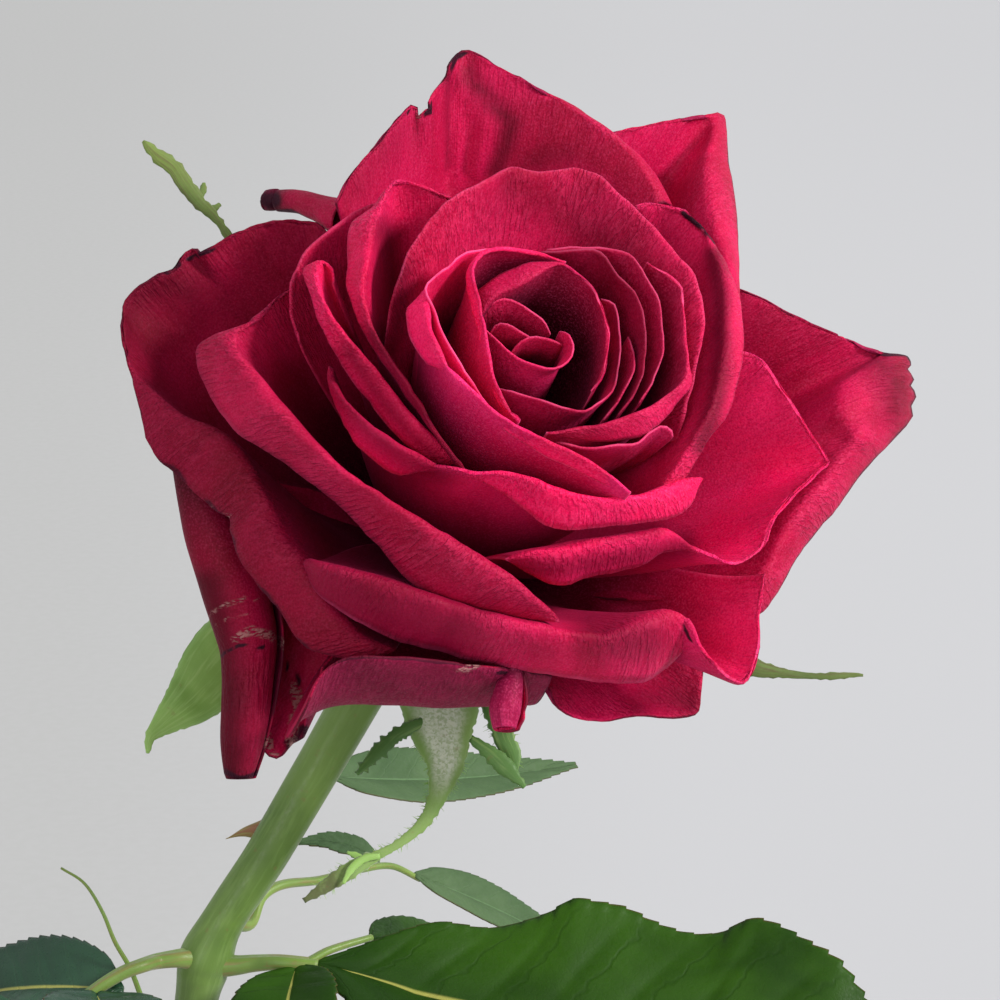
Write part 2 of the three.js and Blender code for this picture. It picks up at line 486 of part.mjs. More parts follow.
function stem() {
  const shaft = rod(stemCurve, stemRadius, STEM_STEPS, STEM_SIDES);
  return node('stem', fuse([shaft, ...THORNS.map(thorn)]), 0x7c9a55, 0.6);
}

// ---------------------------------------------------------------- calyx
// Each sepal is sighted along its middle, from its root: [across, down, height, half width].
const SEPALS = {
  upper_left: [[380, 480, -4, 4.5], [300, 370, 2, 3.2], [234, 245, 9, 1.2], [215, 216, 10, 1],
    [187, 187, 12, 1.5], [160, 157, 14, 1.2], [143, 141, 15, 0.5]],
  left: [[392, 560, -9, 4.5], [300, 600, -14, 5.2], [230, 655, -16, 5.6], [192, 698, -17, 3.9],
    [163, 724, -18, 1.7], [148, 753, -18, 0.5]],
  lower: [[425, 600, -9, 4.5], [440, 660, -13, 5.6], [440, 700, -15, 5.8], [447, 748, -17, 3.9],
    [442, 783, -19, 2.1], [424, 824, -20, 1.5], [386, 850, -22, 1.2], [345, 876, -24, 1.8],
    [304, 901, -26, 0.5]],
  lower_right: [[455, 590, -9, 4.5], [480, 650, -14, 4], [497, 700, -16, 2.6], [503, 735, -17, 1.5],
    [515, 774, -19, 0.5]],
  right: [[470, 560, -8, 4.5], [600, 600, -9, 4.2], [700, 640, -9, 2.6], [780, 668, -9, 1.5],
    [863, 675, -8, 0.5]],
};
const SEPAL_ROWS = 12;
const SEPAL_CUP = 0.25; // how far a sepal's sides stand up from its middle, of its half width
const SEPAL_ROOT = { radius: 4, height: -3 };

/** A sepal: its middle line bent from the hip, its sides spread around the flower. */
function sepal(places) {
  const first = onFlower(...places[0].slice(0, 3));
  const angle = angleOf(first);
  const root = receptacle.clone()
    .addScaledVector(flowerAxis, SEPAL_ROOT.height)
    .addScaledVector(outward(angle), SEPAL_ROOT.radius);
  const middle = new THREE.CatmullRomCurve3([root, ...places.slice(1).map((p) => onFlower(...p.slice(0, 3)))]);
  const widths = new THREE.SplineCurve(places.map((p, i) => new THREE.Vector2(i / (places.length - 1), p[3])));
  const tangential = new THREE.Vector3().crossVectors(flowerAxis, outward(angle));
  const rows = [];
  for (let i = 0; i <= SEPAL_ROWS; i += 1) {
    const along = i / SEPAL_ROWS;
    const centre = middle.getPoint(along);
    const half = widths.getPoint(along).y;
    const way = middle.getTangent(along);
    const side = tangential.clone().addScaledVector(way, -tangential.dot(way)).normalize();
    const face = new THREE.Vector3().crossVectors(side, way);
    rows.push([-1, 0, 1].map((at) => centre.clone()
      .addScaledVector(side, at * half)
      .addScaledVector(face, -Math.abs(at) * half * SEPAL_CUP)));
  }
  return blade(rows, SEPAL_THICKNESS);
}

// The hip's outline as [radius, height above the receptacle].
const HIP_OUTLINE = [[0, -HIP_HEIGHT], [STEM_NECK_RADIUS, -HIP_HEIGHT], [5.4, -HIP_HEIGHT + 3],
  [HIP_RADIUS, -HIP_HEIGHT + 7], [5.6, -2.5], [5, -GAP], [0, -GAP]];
const HIP_SIDES = 14;

function calyx() {
  const hip = turned(outlineOf(HIP_OUTLINE), HIP_SIDES, receptacle, flowerAxis);
  return node('calyx', fuse([hip, ...Object.values(SEPALS).map(sepal)]), 0x6f9a48, 0.7);
}

// ---------------------------------------------------------------- leaves
// A leaflet lies between three sighted lines from its stalk to its tip: its upper edge, its
// midrib and its lower edge. Every place is [across, down, y].
const LEAFLET_ROWS = 20;
const TOOTH_DEPTH = 0.55; // how far each tooth stands out, in millimetres
const STALK_CLEARANCE = 0.6; // extra room beside the leaning stem, of the stalk's radius
const TOOTH_RAKE = 0.5; // how far it leans towards the tip, of a row

const OVAL_LEAST = 0.45; // half width that is left at both ends of an oval leaflet
const OVAL_SKEW = 0.72; // under 1 puts the widest place nearer the stalk
const OVAL_FULLNESS = 0.8; // under 1 makes the sides fuller
const OVAL_TAPER = 0.25; // part of the width that is lost towards the tip

/** Places given as [across, down, y]; one that already is a place is kept. */
const sighted = (places) => places.map((place) => (Array.isArray(place) ? onPlane(...place) : place));

/** A place just clear of the stem, for the foot of a stalk: where along it, and which way out. */
function besideStem(along, angle, stalkRadius) {
  const distance = stemRadius(along) + GAP + STALK_CLEARANCE * stalkRadius;
  return stemCurve.getPointAt(along).add(new THREE.Vector3(
    distance * Math.cos(angle), distance * Math.sin(angle), -stalkRadius * 0.2,
  ));
}

/** A leaflet blade with a saw-toothed edge, folded along its midrib. */
function leaflet({ upper, rib, lower, rows: count = LEAFLET_ROWS }) {
  const lines = [upper, rib, lower].map((places) => new THREE.CatmullRomCurve3(sighted(places)));
  const rows = [];
  for (let i = 0; i <= count; i += 1) {
    const along = i / count;
    const [top, middle, bottom] = lines.map((line) => line.getPointAt(along));
    const tooth = i > 0 && i < count && i % 2 === 1;
    const forward = lines[1].getTangentAt(along).multiplyScalar((TOOTH_RAKE * lines[1].getLength()) / count);
    const row = [top, middle.clone().lerp(top, 0.5), middle, middle.clone().lerp(bottom, 0.5), bottom];
    if (tooth) {
      for (const [edge, place] of [[0, top], [4, bottom]]) {
        const out = place.clone().sub(middle).normalize().multiplyScalar(TOOTH_DEPTH);
        row[edge] = place.clone().add(out).add(forward);
      }
    }
    rows.push(row);
  }
  return blade(rows, LEAF_THICKNESS);
}

/** Sighted edges of a plain oval leaflet, from its stalk and tip, its half width and how it faces. */
function ovalLeaflet({ stalk, tip, half, facing, arch = 0.08, fold = 0.25, rows = 14 }) {
  const [from, to] = sighted([stalk, tip]);
  const length = from.distanceTo(to);
  const way = to.clone().sub(from).normalize();
  const face = new THREE.Vector3(...facing).normalize();
  face.addScaledVector(way, -face.dot(way)).normalize();
  const side = new THREE.Vector3().crossVectors(way, face);
  const grid = [];
  for (let i = 0; i <= rows; i += 1) {
    const along = i / rows;
    const oval = Math.sin(Math.PI * along ** OVAL_SKEW) ** OVAL_FULLNESS * (1 - OVAL_TAPER * along);
    const width = Math.max(half * oval, OVAL_LEAST);
    const centre = from.clone().lerp(to, along).addScaledVector(face, arch * length * Math.sin(Math.PI * along));
    const tooth = i % 2 === 1 ? TOOTH_DEPTH : 0;
    grid.push([-1, -0.5, 0, 0.5, 1].map((at) => centre.clone()
      .addScaledVector(side, at * (width + tooth))
      .addScaledVector(face, Math.abs(at) * width * fold)
      .addScaledVector(way, Math.abs(at) === 1 ? tooth : 0)));
  }
  return blade(grid, LEAF_THICKNESS);
}

/** A leaf stalk through sighted places, tapering from one radius to the other. */
function stalk(places, fromRadius, toRadius) {
  const curve = new THREE.CatmullRomCurve3(sighted(places));
  return rod(curve, (along) => fromRadius + (toRadius - fromRadius) * along, 4 * places.length, 6);
}

const LARGE_LEAFLET = {
  upper: [[313, 963, -3.5], [371, 941, -1], [433, 922, 2], [505, 922, 3], [572, 899, 5], [623, 906, 5],
    [687, 933, 3], [754, 919, 3], [800, 938, 0], [862, 995, -5], [900, 1040, -9]],
  rib: [[316, 965, -4], [428, 997, -6], [560, 1022, -8], [700, 1040, -9], [810, 1050, -10], [903, 1044, -10]],
  lower: [[314, 969, -5], [360, 1010, -14], [440, 1055, -22], [560, 1100, -27], [700, 1120, -27],
    [820, 1095, -20], [902, 1050, -11]],
};

function rightLeaf() {
  return node('leaf_right', fuse([
    stalk([besideStem(NODE_AT, -0.2, 1.4), [254, 963, -2.4], [280, 962, -4], [318, 965, -4.2]], 1.4, 1.1),
    stalk([[308, 962, -4], [330, 950, -2], [372, 937, 2]], 0.8, 0.7),
    leaflet(LARGE_LEAFLET),
    ovalLeaflet({ stalk: [297, 964, -4], tip: [275, 1130, -30], half: 8.5, facing: [-0.2, -0.6, 0.8] }),
    ovalLeaflet({ stalk: [366, 939, 2], tip: [540, 1010, 34], half: 7, facing: [0, -0.2, 1] }),
  ]), 0x2f5a26, 0.5);
}

function leftLeaf() {
  return node('leaf_left', fuse([
    stalk([besideStem(NODE_AT, 3.5, 1.5), [157, 961, -4], [143, 965, -7], [120, 974, -9], [84, 998, -12],
      [50, 1030, -14]], 1.5, 0.9),
    stalk([[143, 1002, -7], [130, 968, -7.6], [115, 942, -7.6], [102, 911, -7], [84, 883, -6],
      [61, 868, -5]], 0.6, 0.45),
    ovalLeaflet({ stalk: [112, 979, -9.6], tip: [-110, 1012, 2], half: 11, facing: [0.1, -0.45, 0.88] }),
    ovalLeaflet({ stalk: [95, 992, -11], tip: [130, 1150, -42], half: 11, facing: [0.3, -0.5, 0.8] }),
    ovalLeaflet({ stalk: [52, 1028, -14], tip: [-150, 1190, -30], half: 16, facing: [-0.2, -0.6, 0.8] }),
  ]), 0x23492a, 0.42);
}

function backLeaf() {
  return node('leaf_back', fuse([
    stalk([besideStem(NODE_AT + 0.025, 1.1, 1.2), [262, 897, 10], [281, 885, 13], [319, 880, 18], [360, 872, 24],
      [396, 864, 30]], 1.2, 0.9),
    stalk([[262, 897, 10], [272, 868, 20], [300, 812, 34], [334, 777, 46.5]], 0.8, 0.7),
    ovalLeaflet({ stalk: [382, 864, 28.5], tip: [298, 842, 24], half: 2.6, facing: [0, -0.5, 0.9], arch: 0.12 }),
    ovalLeaflet({ stalk: [382, 865, 28], tip: [600, 975, 50], half: 5.5, facing: [0, -0.5, 0.85], arch: 0.03 }),
    ovalLeaflet({ stalk: [332, 778, 46], tip: [576, 766, 70], half: 6.5, facing: [0, -0.5, 0.8], arch: -0.04 }),
  ]), 0x54794a, 0.55);
}

// ---------------------------------------------------------------- vase and water
const VASE_SIDES = 32;
const PROFILE_STEPS = 11;
const vaseOutside = new THREE.CatmullRomCurve3([
  [VASE_FOOT_RADIUS, 1], [VASE_BODY_RADIUS - 3, 18], [VASE_BODY_RADIUS, VASE_BODY_HEIGHT],
  [VASE_BODY_RADIUS * 0.8, 74], [VASE_NECK_RADIUS * 1.45, 101], [VASE_NECK_RADIUS, VASE_NECK_HEIGHT],
  [VASE_LIP_RADIUS, VASE_HEIGHT],
].map(([radius, height]) => new THREE.Vector3(radius, 0, height)));

/** The outside line of the vase, moved inwards by a distance, between two heights. */
function vaseLine(inwards, fromHeight, toHeight) {
  const line = [];
  for (let i = 0; i <= PROFILE_STEPS; i += 1) {
    const tangent = vaseOutside.getTangentAt(i / PROFILE_STEPS);
    const place = vaseOutside.getPointAt(i / PROFILE_STEPS);
    line.push(new THREE.Vector2(place.x - tangent.z * inwards, place.z + tangent.x * inwards));
  }
  const radiusAt = (height) => {
    const after = Math.max(1, line.findIndex((p) => p.y >= height));
    const [a, b] = [line[after - 1], line[after]];
    return a.x + ((b.x - a.x) * (height - a.y)) / (b.y - a.y);
  };
  const inside = line.filter((p) => p.y > fromHeight + 0.5 && p.y < toHeight - 0.5);
  return [
    new THREE.Vector2(radiusAt(fromHeight), fromHeight),
    ...inside,
    new THREE.Vector2(radiusAt(toHeight), toHeight),
  ];
}

function vase() {
  const origin = new THREE.Vector3();
  const up = new THREE.Vector3(0, 0, 1);
  const outside = vaseLine(0, 1, VASE_HEIGHT);
  const body = turned([
    new THREE.Vector2(0, 0), new THREE.Vector2(VASE_FOOT_RADIUS - 1, 0), ...outside,
    new THREE.Vector2(0, VASE_HEIGHT),
  ], VASE_SIDES, origin, up);
  const inside = vaseLine(VASE_WALL, VASE_FLOOR, VASE_HEIGHT - 1);
  const mouth = inside[inside.length - 1].x;
  const hollow = turned([
    new THREE.Vector2(0, VASE_FLOOR), ...inside, new THREE.Vector2(mouth + 1, VASE_HEIGHT + 1),
    new THREE.Vector2(0, VASE_HEIGHT + 1),
  ], VASE_SIDES, origin, up);
  return node('vase', body.subtract(hollow), 0xe9e4da, 0.3);
}

function water() {
  const bottom = VASE_FLOOR + GAP;
  const side = vaseLine(VASE_WALL + GAP, bottom, WATER_LEVEL);
  const body = turned([
    new THREE.Vector2(0, bottom), ...side, new THREE.Vector2(0, WATER_LEVEL),
  ], VASE_SIDES, new THREE.Vector3(), new THREE.Vector3(0, 0, 1));
  const hole = rod(stemCurve, (along) => stemRadius(along) + 2 * GAP, STEM_STEPS, STEM_SIDES);
  const foot = stemCurve.getPoint(0);
  const way = stemCurve.getTangent(0);
  const below = turned(
    [[0, -5], [STEM_RADIUS + 2 * GAP, -5], [STEM_RADIUS + 2 * GAP, 1], [0, 1]]
      .map(([radius, height]) => new THREE.Vector2(radius, height)),
    STEM_SIDES, foot, way,
  );
  return node('water', body.subtract(hole.add(below)), 0xcfdfe0, 0.08, { transparent: true, opacity: 0.5 });
}

const rose = new THREE.Group();
rose.add(vase(), water(), stem(), calyx(), bloom(), rightLeaf(), leftLeaf(), backLeaf());
export default rose;
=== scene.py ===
"""A fully open red rose standing in a plain glazed bud vase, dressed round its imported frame."""

import logging
import math
import random
from bisect import bisect_left
from dataclasses import dataclass, field, replace
from enum import Enum
from functools import cache, cached_property, partial
from typing import Callable, Iterable, Sequence

import bmesh
import bpy
from mathutils import Matrix, Vector, noise

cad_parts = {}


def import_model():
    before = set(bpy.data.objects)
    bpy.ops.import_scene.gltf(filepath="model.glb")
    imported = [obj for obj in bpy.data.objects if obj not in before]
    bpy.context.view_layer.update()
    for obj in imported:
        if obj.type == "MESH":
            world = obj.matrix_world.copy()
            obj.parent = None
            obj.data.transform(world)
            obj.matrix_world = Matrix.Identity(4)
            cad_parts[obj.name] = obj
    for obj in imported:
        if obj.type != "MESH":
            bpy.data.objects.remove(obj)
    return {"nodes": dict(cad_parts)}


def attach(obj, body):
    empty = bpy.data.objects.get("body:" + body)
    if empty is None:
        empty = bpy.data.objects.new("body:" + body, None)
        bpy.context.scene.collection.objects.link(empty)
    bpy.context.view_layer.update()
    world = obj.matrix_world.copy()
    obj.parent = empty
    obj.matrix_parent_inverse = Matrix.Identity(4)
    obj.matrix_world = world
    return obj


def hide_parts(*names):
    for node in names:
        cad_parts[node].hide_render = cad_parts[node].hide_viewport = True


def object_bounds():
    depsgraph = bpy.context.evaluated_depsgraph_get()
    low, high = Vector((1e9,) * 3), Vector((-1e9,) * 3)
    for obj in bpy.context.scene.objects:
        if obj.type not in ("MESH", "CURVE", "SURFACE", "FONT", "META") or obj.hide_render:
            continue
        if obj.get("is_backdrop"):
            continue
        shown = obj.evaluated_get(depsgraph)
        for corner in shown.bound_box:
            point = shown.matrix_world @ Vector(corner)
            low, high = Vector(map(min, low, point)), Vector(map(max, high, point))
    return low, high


LOG = logging.getLogger("rose")
MM = 0.001  # metres in a millimetre
ROOT_BODY = "root"
TAU = 2.0 * math.pi
WELD = 0.002 * MM  # points nearer than this are one
SAMPLES = 24  # measured points for each stretch of a curve
TINY = 1e-6  # keeps a division off zero
KEY_DIGITS = 7  # decimals of a metre by which points and faces are put in order
Colour = tuple[float, float, float]
Place = tuple[float, float, float]


# ------------------------------------------------------------------ line of sight
@dataclass(frozen=True)
class Sight:
    """The reference view: places on the flower are sighted along it, in millimetres."""

    size: float = 1000.0
    elevation: float = math.radians(15.0)
    distance: float = 400.0
    step: float = 0.13
    heart: Vector = field(default_factory=lambda: Vector((58.0, -35.0, 292.0)))
    heart_across: float = 533.0
    heart_down: float = 350.0

    @cached_property
    def forward(self) -> Vector:
        """The way the eye looks."""
        return Vector((0.0, math.cos(self.elevation), -math.sin(self.elevation)))

    @property
    def right(self) -> Vector:
        """The view's right."""
        return Vector((1.0, 0.0, 0.0))

    @cached_property
    def up(self) -> Vector:
        """The view's up."""
        return self.right.cross(self.forward)

    @cached_property
    def eye(self) -> Vector:
        """Where the eye stands."""
        return self.heart - self.ray(self.heart_across, self.heart_down) * self.distance

    def ray(self, across: float, down: float) -> Vector:
        """Direction from the eye through a place in the view, one unit deep.

        Args:
            across: Steps from the view's left edge.
            down: Steps from its top edge.

        Returns:
            The direction, not normalised.
        """
        scale = self.step / self.distance
        side = self.right * ((across - self.size / 2) * scale)
        rise = self.up * ((self.size / 2 - down) * scale)
        return self.forward + side + rise

    def on_plane(self, across: float, down: float, y: float) -> Vector:
        """The place seen at (across, down) on the upright plane y.

        Args:
            across: Steps from the view's left edge.
            down: Steps from its top edge.
            y: The plane, in millimetres.

        Returns:
            The place, in millimetres.
        """
        ray = self.ray(across, down)
        return self.eye + ray * ((y - self.eye.y) / ray.y)

    def seen(self, place: Vector) -> tuple[float, float]:
        """Where a place stands in the view.

        Args:
            place: The place, in millimetres.

        Returns:
            Steps across and steps down.
        """
        arm = place - self.eye
        scale = self.distance / (self.step * arm.dot(self.forward))
        return (self.size / 2 + arm.dot(self.right) * scale, self.size / 2 - arm.dot(self.up) * scale)


SIGHT = Sight()


@dataclass(frozen=True)
class FlowerAxis:
    """The bloom's own axis, which nods towards the eye, and angles and heights about it."""

    right_part: float = 0.269
    up_part: float = 0.538
    eye_part: float = 0.799
    heart_height: float = 46.0

    @cached_property
    def way(self) -> Vector:
        """Unit vector from the receptacle out through the heart."""
        made = SIGHT.right * self.right_part + SIGHT.up * self.up_part - SIGHT.forward * self.eye_part
        return made.normalized()

    @cached_property
    def receptacle(self) -> Vector:
        """The place that the petals grow from."""
        return SIGHT.heart - self.way * self.heart_height

    @cached_property
    def side(self) -> Vector:
        """Unit vector square to the axis, to the view's right."""
        return (SIGHT.right - self.way * SIGHT.right.dot(self.way)).normalized()

    @cached_property
    def back(self) -> Vector:
        """Unit vector square to the axis and to its side."""
        return self.way.cross(self.side)

    def outward(self, angle: float) -> Vector:
        """Unit vector straight out from the axis.

        Args:
            angle: Angle around the axis, in radians.

        Returns:
            The direction.
        """
        return self.side * math.cos(angle) + self.back * math.sin(angle)

    def angle_of(self, place: Vector) -> float:
        """Angle of a place around the axis.

        Args:
            place: The place, in millimetres.

        Returns:
            The angle, in radians.
        """
        arm = place - self.receptacle
        return math.atan2(arm.dot(self.back), arm.dot(self.side))

    def at(self, angle: float, radius: float, height: float) -> Vector:
        """A place by its angle, radius and height about the axis.

        Args:
            angle: In radians.
            radius: In millimetres.
            height: In millimetres above the receptacle.

        Returns:
            The place, in millimetres.
        """
        return self.receptacle + self.way * height + self.outward(angle) * radius

    def sighted(self, across: float, down: float, height: float) -> Vector:
        """The place seen at (across, down), at a height above the receptacle.

        Args:
            across: Steps from the view's left edge.
            down: Steps from its top edge.
            height: Millimetres along the axis.

        Returns:
            The place, in millimetres.
        """
        ray = SIGHT.ray(across, down)
        level = self.receptacle + self.way * height - SIGHT.eye
        return SIGHT.eye + ray * (level.dot(self.way) / ray.dot(self.way))


FLOWER = FlowerAxis()


# ------------------------------------------------------------------ curves
def catmull_rom(places: Sequence[Vector], at: float) -> Vector:
    """A smooth curve through places.

    Args:
        places: At least two places.
        at: Which stretch and how far along it, from 0 to len(places) - 1.

    Returns:
        The place on the curve.
    """
    last = len(places) - 1
    stretch = min(int(at), last - 1)
    t = at - stretch
    p1, p2 = places[stretch], places[stretch + 1]
    p0 = places[stretch - 1] if stretch > 0 else p1 * 2 - p2
    p3 = places[stretch + 2] if stretch + 2 <= last else p2 * 2 - p1
    span = max((p2 - p1).length, TINY)
    before = max((p1 - p0).length, TINY)
    after = max((p3 - p2).length, TINY)
    start = (p2 - p0) * (span / (before + span))
    end = (p3 - p1) * (span / (after + span))
    h1 = 2 * t ** 3 - 3 * t ** 2 + 1
    h2 = t ** 3 - 2 * t ** 2 + t
    h3 = -2 * t ** 3 + 3 * t ** 2
    h4 = t ** 3 - t ** 2
    return p1 * h1 + start * h2 + p2 * h3 + end * h4


class Curve:
    """A smooth curve through places, measured evenly along its length."""

    def __init__(self, places: Sequence[Vector], samples: int = SAMPLES) -> None:
        """Measures the curve.

        Args:
            places: The places that it runs through, in millimetres.
            samples: Measured points for each stretch.
        """
        count = (len(places) - 1) * samples
        self.points = [catmull_rom(places, i / samples) for i in range(count + 1)]
        self.travel = [0.0]
        for a, b in zip(self.points, self.points[1:]):
            self.travel.append(self.travel[-1] + (b - a).length)

    @property
    def length(self) -> float:
        """Its length in millimetres."""
        return self.travel[-1]

    def at(self, along: float) -> Vector:
        """The place at a part of its length.

        Args:
            along: From 0 to 1.

        Returns:
            The place, in millimetres.
        """
        target = min(max(along, 0.0), 1.0) * self.length
        index = min(max(bisect_left(self.travel, target), 1), len(self.travel) - 1)
        gap = max(self.travel[index] - self.travel[index - 1], 1e-9)
        return self.points[index - 1].lerp(self.points[index], (target - self.travel[index - 1]) / gap)

    def way(self, along: float) -> Vector:
        """The direction that it runs in at a part of its length."""
        return (self.at(along + 0.01) - self.at(along - 0.01)).normalized()


def bezier(points: Sequence[Vector], t: float) -> Vector:
    """A Bezier curve of any degree.

    Args:
        points: Its control points.
        t: How far along, 0 to 1.

    Returns:
        The place on the curve.
    """
    ring = list(points)
    while len(ring) > 1:
        ring = [a.lerp(b, t) for a, b in zip(ring, ring[1:])]
    return ring[0]


def smooth(low: float, high: float, value: float) -> float:
    """Smooth step from 0 at low to 1 at high."""
    t = min(max((value - low) / (high - low), 0.0), 1.0)
    return t * t * (3 - 2 * t)


def squared(way: Vector, to: Vector) -> Vector:
    """The part of a direction that is square to another, one unit long."""
    return (way - to * way.dot(to)).normalized()


def around(way: Vector, seam: Vector, turn: float, flat: float = 1.0) -> Vector:
    """The spoke of a round rod.

    Args:
        way: The rod's direction.
        seam: Roughly where its seam lies.
        turn: How far round from the seam, as a part of a turn.
        flat: The rod's second width as a part of its first.

    Returns:
        The spoke, one unit long where the rod isn't flat.
    """
    side = squared(seam, way)
    return side * math.cos(turn * TAU) + way.cross(side) * (math.sin(turn * TAU) * flat)


def unwound(angles: Iterable[float]) -> list[float]:
    """Angles without jumps of a full turn.

    Args:
        angles: Angles in radians.

    Returns:
        The same angles, each within half a turn of the one before.
    """
    out: list[float] = []
    for angle in angles:
        while out and angle - out[-1] > math.pi:
            angle -= TAU
        while out and angle - out[-1] < -math.pi:
            angle += TAU
        out.append(angle)
    return out


def line_distance(across: float, down: float, line: Sequence[tuple[float, float]]) -> float:
    """How far a place in the view stands from a line of places.

    Args:
        across: Steps from the view's left edge.
        down: Steps from its top edge.
        line: The line's places.

    Returns:
        The distance, in steps.
    """
    best = math.inf
    for (ax, ay), (bx, by) in zip(line, line[1:]):
        dx, dy = bx - ax, by - ay
        t = min(max(((across - ax) * dx + (down - ay) * dy) / (dx * dx + dy * dy), 0.0), 1.0)
        best = min(best, math.hypot(across - ax - t * dx, down - ay - t * dy))
    return best


# ------------------------------------------------------------------ making pieces
SurfaceRule = Callable[[float, float], Vector]
PlaceValue = Callable[[Vector], float]


def put_in_order(parts: bmesh.types.BMVertSeq | bmesh.types.BMFaceSeq, where: Callable[..., Vector]) -> None:
    """Puts a mesh's points or faces in one order, whatever order they were made in.

    Args:
        parts: The points or the faces.
        where: The place of one of them, rounded well under the weld to sort it by.
    """
    ranked = sorted(parts, key=lambda part: tuple(round(value, KEY_DIGITS) for value in where(part)))
    for rank, part in enumerate(ranked):
        part.index = rank
    parts.sort()


def new_piece(name: str, bm: bmesh.types.BMesh) -> bpy.types.Object:
    """Turns a bmesh into an object in the scene, at the origin.

    Args:
        name: The piece's name.
        bm: Its mesh, in metres, which is freed.

    Returns:
        The object.
    """
    mesh = bpy.data.meshes.new(name)
    bm.to_mesh(mesh)
    bm.free()
    piece = bpy.data.objects.new(name, mesh)
    bpy.context.scene.collection.objects.link(piece)
    return piece


def bent_grid(across: int, along: int, rule: SurfaceRule, size: tuple[float, float]) -> bmesh.types.BMesh:
    """A flat grid that a rule bends into place.

    Args:
        across: Faces across.
        along: Faces along.
        rule: Place, in millimetres, of (part across, part along), each 0 to 1.
        size: Rough width and length in millimetres, for patterns at their real scale.

    Returns:
        The grid, with the UV maps "part" (0 to 1) and "scale" (millimetres).
    """
    bm = bmesh.new()
    bmesh.ops.create_grid(bm, x_segments=across, y_segments=along, size=0.5)
    part = bm.loops.layers.uv.new("part")
    scale = bm.loops.layers.uv.new("scale")
    for face in bm.faces:
        face.smooth = True
        for loop in face.loops:
            u, v = loop.vert.co.x + 0.5, loop.vert.co.y + 0.5
            loop[part].uv = (u, v)
            loop[scale].uv = (u * size[0], v * size[1])
    for vert in bm.verts:
        vert.co = rule(vert.co.x + 0.5, vert.co.y + 0.5) * MM
    return bm


@dataclass(frozen=True)
class Sheet:
    """A thin curved blade with two faces."""

    name: str
    columns: int
    rows: int
    thickness: float  # millimetres
    size: tuple[float, float]  # rough width and length, millimetres
    rim_part: float = 0.55  # part of the thickness that is left at the rim
    values: tuple[tuple[str, PlaceValue], ...] = ()  # named values that the finish reads

    def build(self, rule: SurfaceRule, upper: Vector) -> bpy.types.Object:
        """Makes the blade.

        Args:
            rule: Place, in millimetres, of (part across, part along), each 0 to 1.
            upper: Roughly the way that its upper face looks, at its middle.

        Returns:
            The object. Its first material is for the upper face and its second for the lower.
        """
        bm = bent_grid(self.columns, self.rows, rule, self.size)
        step, along = 0.05, 0.45
        sideways = rule(0.5 + step, along) - rule(0.5 - step, along)
        normal = sideways.cross(rule(0.5, along + step) - rule(0.5, along - step))
        if normal.dot(upper) < 0.0:
            bmesh.ops.reverse_faces(bm, faces=bm.faces)
        body = bm.verts.layers.deform.verify()
        for vert in bm.verts:
            rim = any(edge.is_boundary for edge in vert.link_edges)
            vert[body][0] = 0.0 if rim else 1.0
        piece = new_piece(self.name, bm)
        piece.vertex_groups.new(name="body")
        for name, value in self.values:
            layer = piece.data.attributes.new(name, "FLOAT", "POINT")
            layer.data.foreach_set("value", [value(vert.co / MM) for vert in piece.data.vertices])
        wall = piece.modifiers.new("thickness", "SOLIDIFY")
        wall.thickness = self.thickness * MM
        wall.offset = 0.0
        wall.use_even_offset = False
        wall.material_offset = 1
        wall.vertex_group = "body"
        wall.thickness_vertex_group = self.rim_part
        return piece


def tube(name: str, sides: int, rows: int, rule: SurfaceRule, size: tuple[float, float]) -> bpy.types.Object:
    """A closed round piece, from a flat grid that a rule wraps round.

    Args:
        name: The piece's name.
        sides: Faces around.
        rows: Faces along.
        rule: Place, in millimetres, of (part around, part along), each 0 to 1.
        size: Rough girth and length in millimetres.

    Returns:
        The object, its seam and its ends closed.
    """
    bm = bent_grid(sides, rows, rule, size)
    bmesh.ops.remove_doubles(bm, verts=bm.verts, dist=WELD)
    ends = [edge for edge in bm.edges if edge.is_boundary]
    if ends:
        bmesh.ops.holes_fill(bm, edges=ends, sides=0)
    bmesh.ops.recalc_face_normals(bm, faces=bm.faces)
    return new_piece(name, bm)


def dress(piece: bpy.types.Object, slot: str, nodes: Sequence[str],
          *materials: bpy.types.Material) -> bpy.types.Object:
    """Gives a piece its materials and its place in the frame.

    Args:
        piece: The new piece.
        slot: The record's material slot that it stands for; not used.
        nodes: The CAD nodes that it replaces.
        materials: Its finishes, the upper face's first.

    Returns:
        The piece.
    """
    for material in materials:
        piece.data.materials.append(material)
    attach(piece, ROOT_BODY)
    if nodes:
        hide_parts(*nodes)
    return piece


# ------------------------------------------------------------------ finishes
Socket = bpy.types.NodeSocket


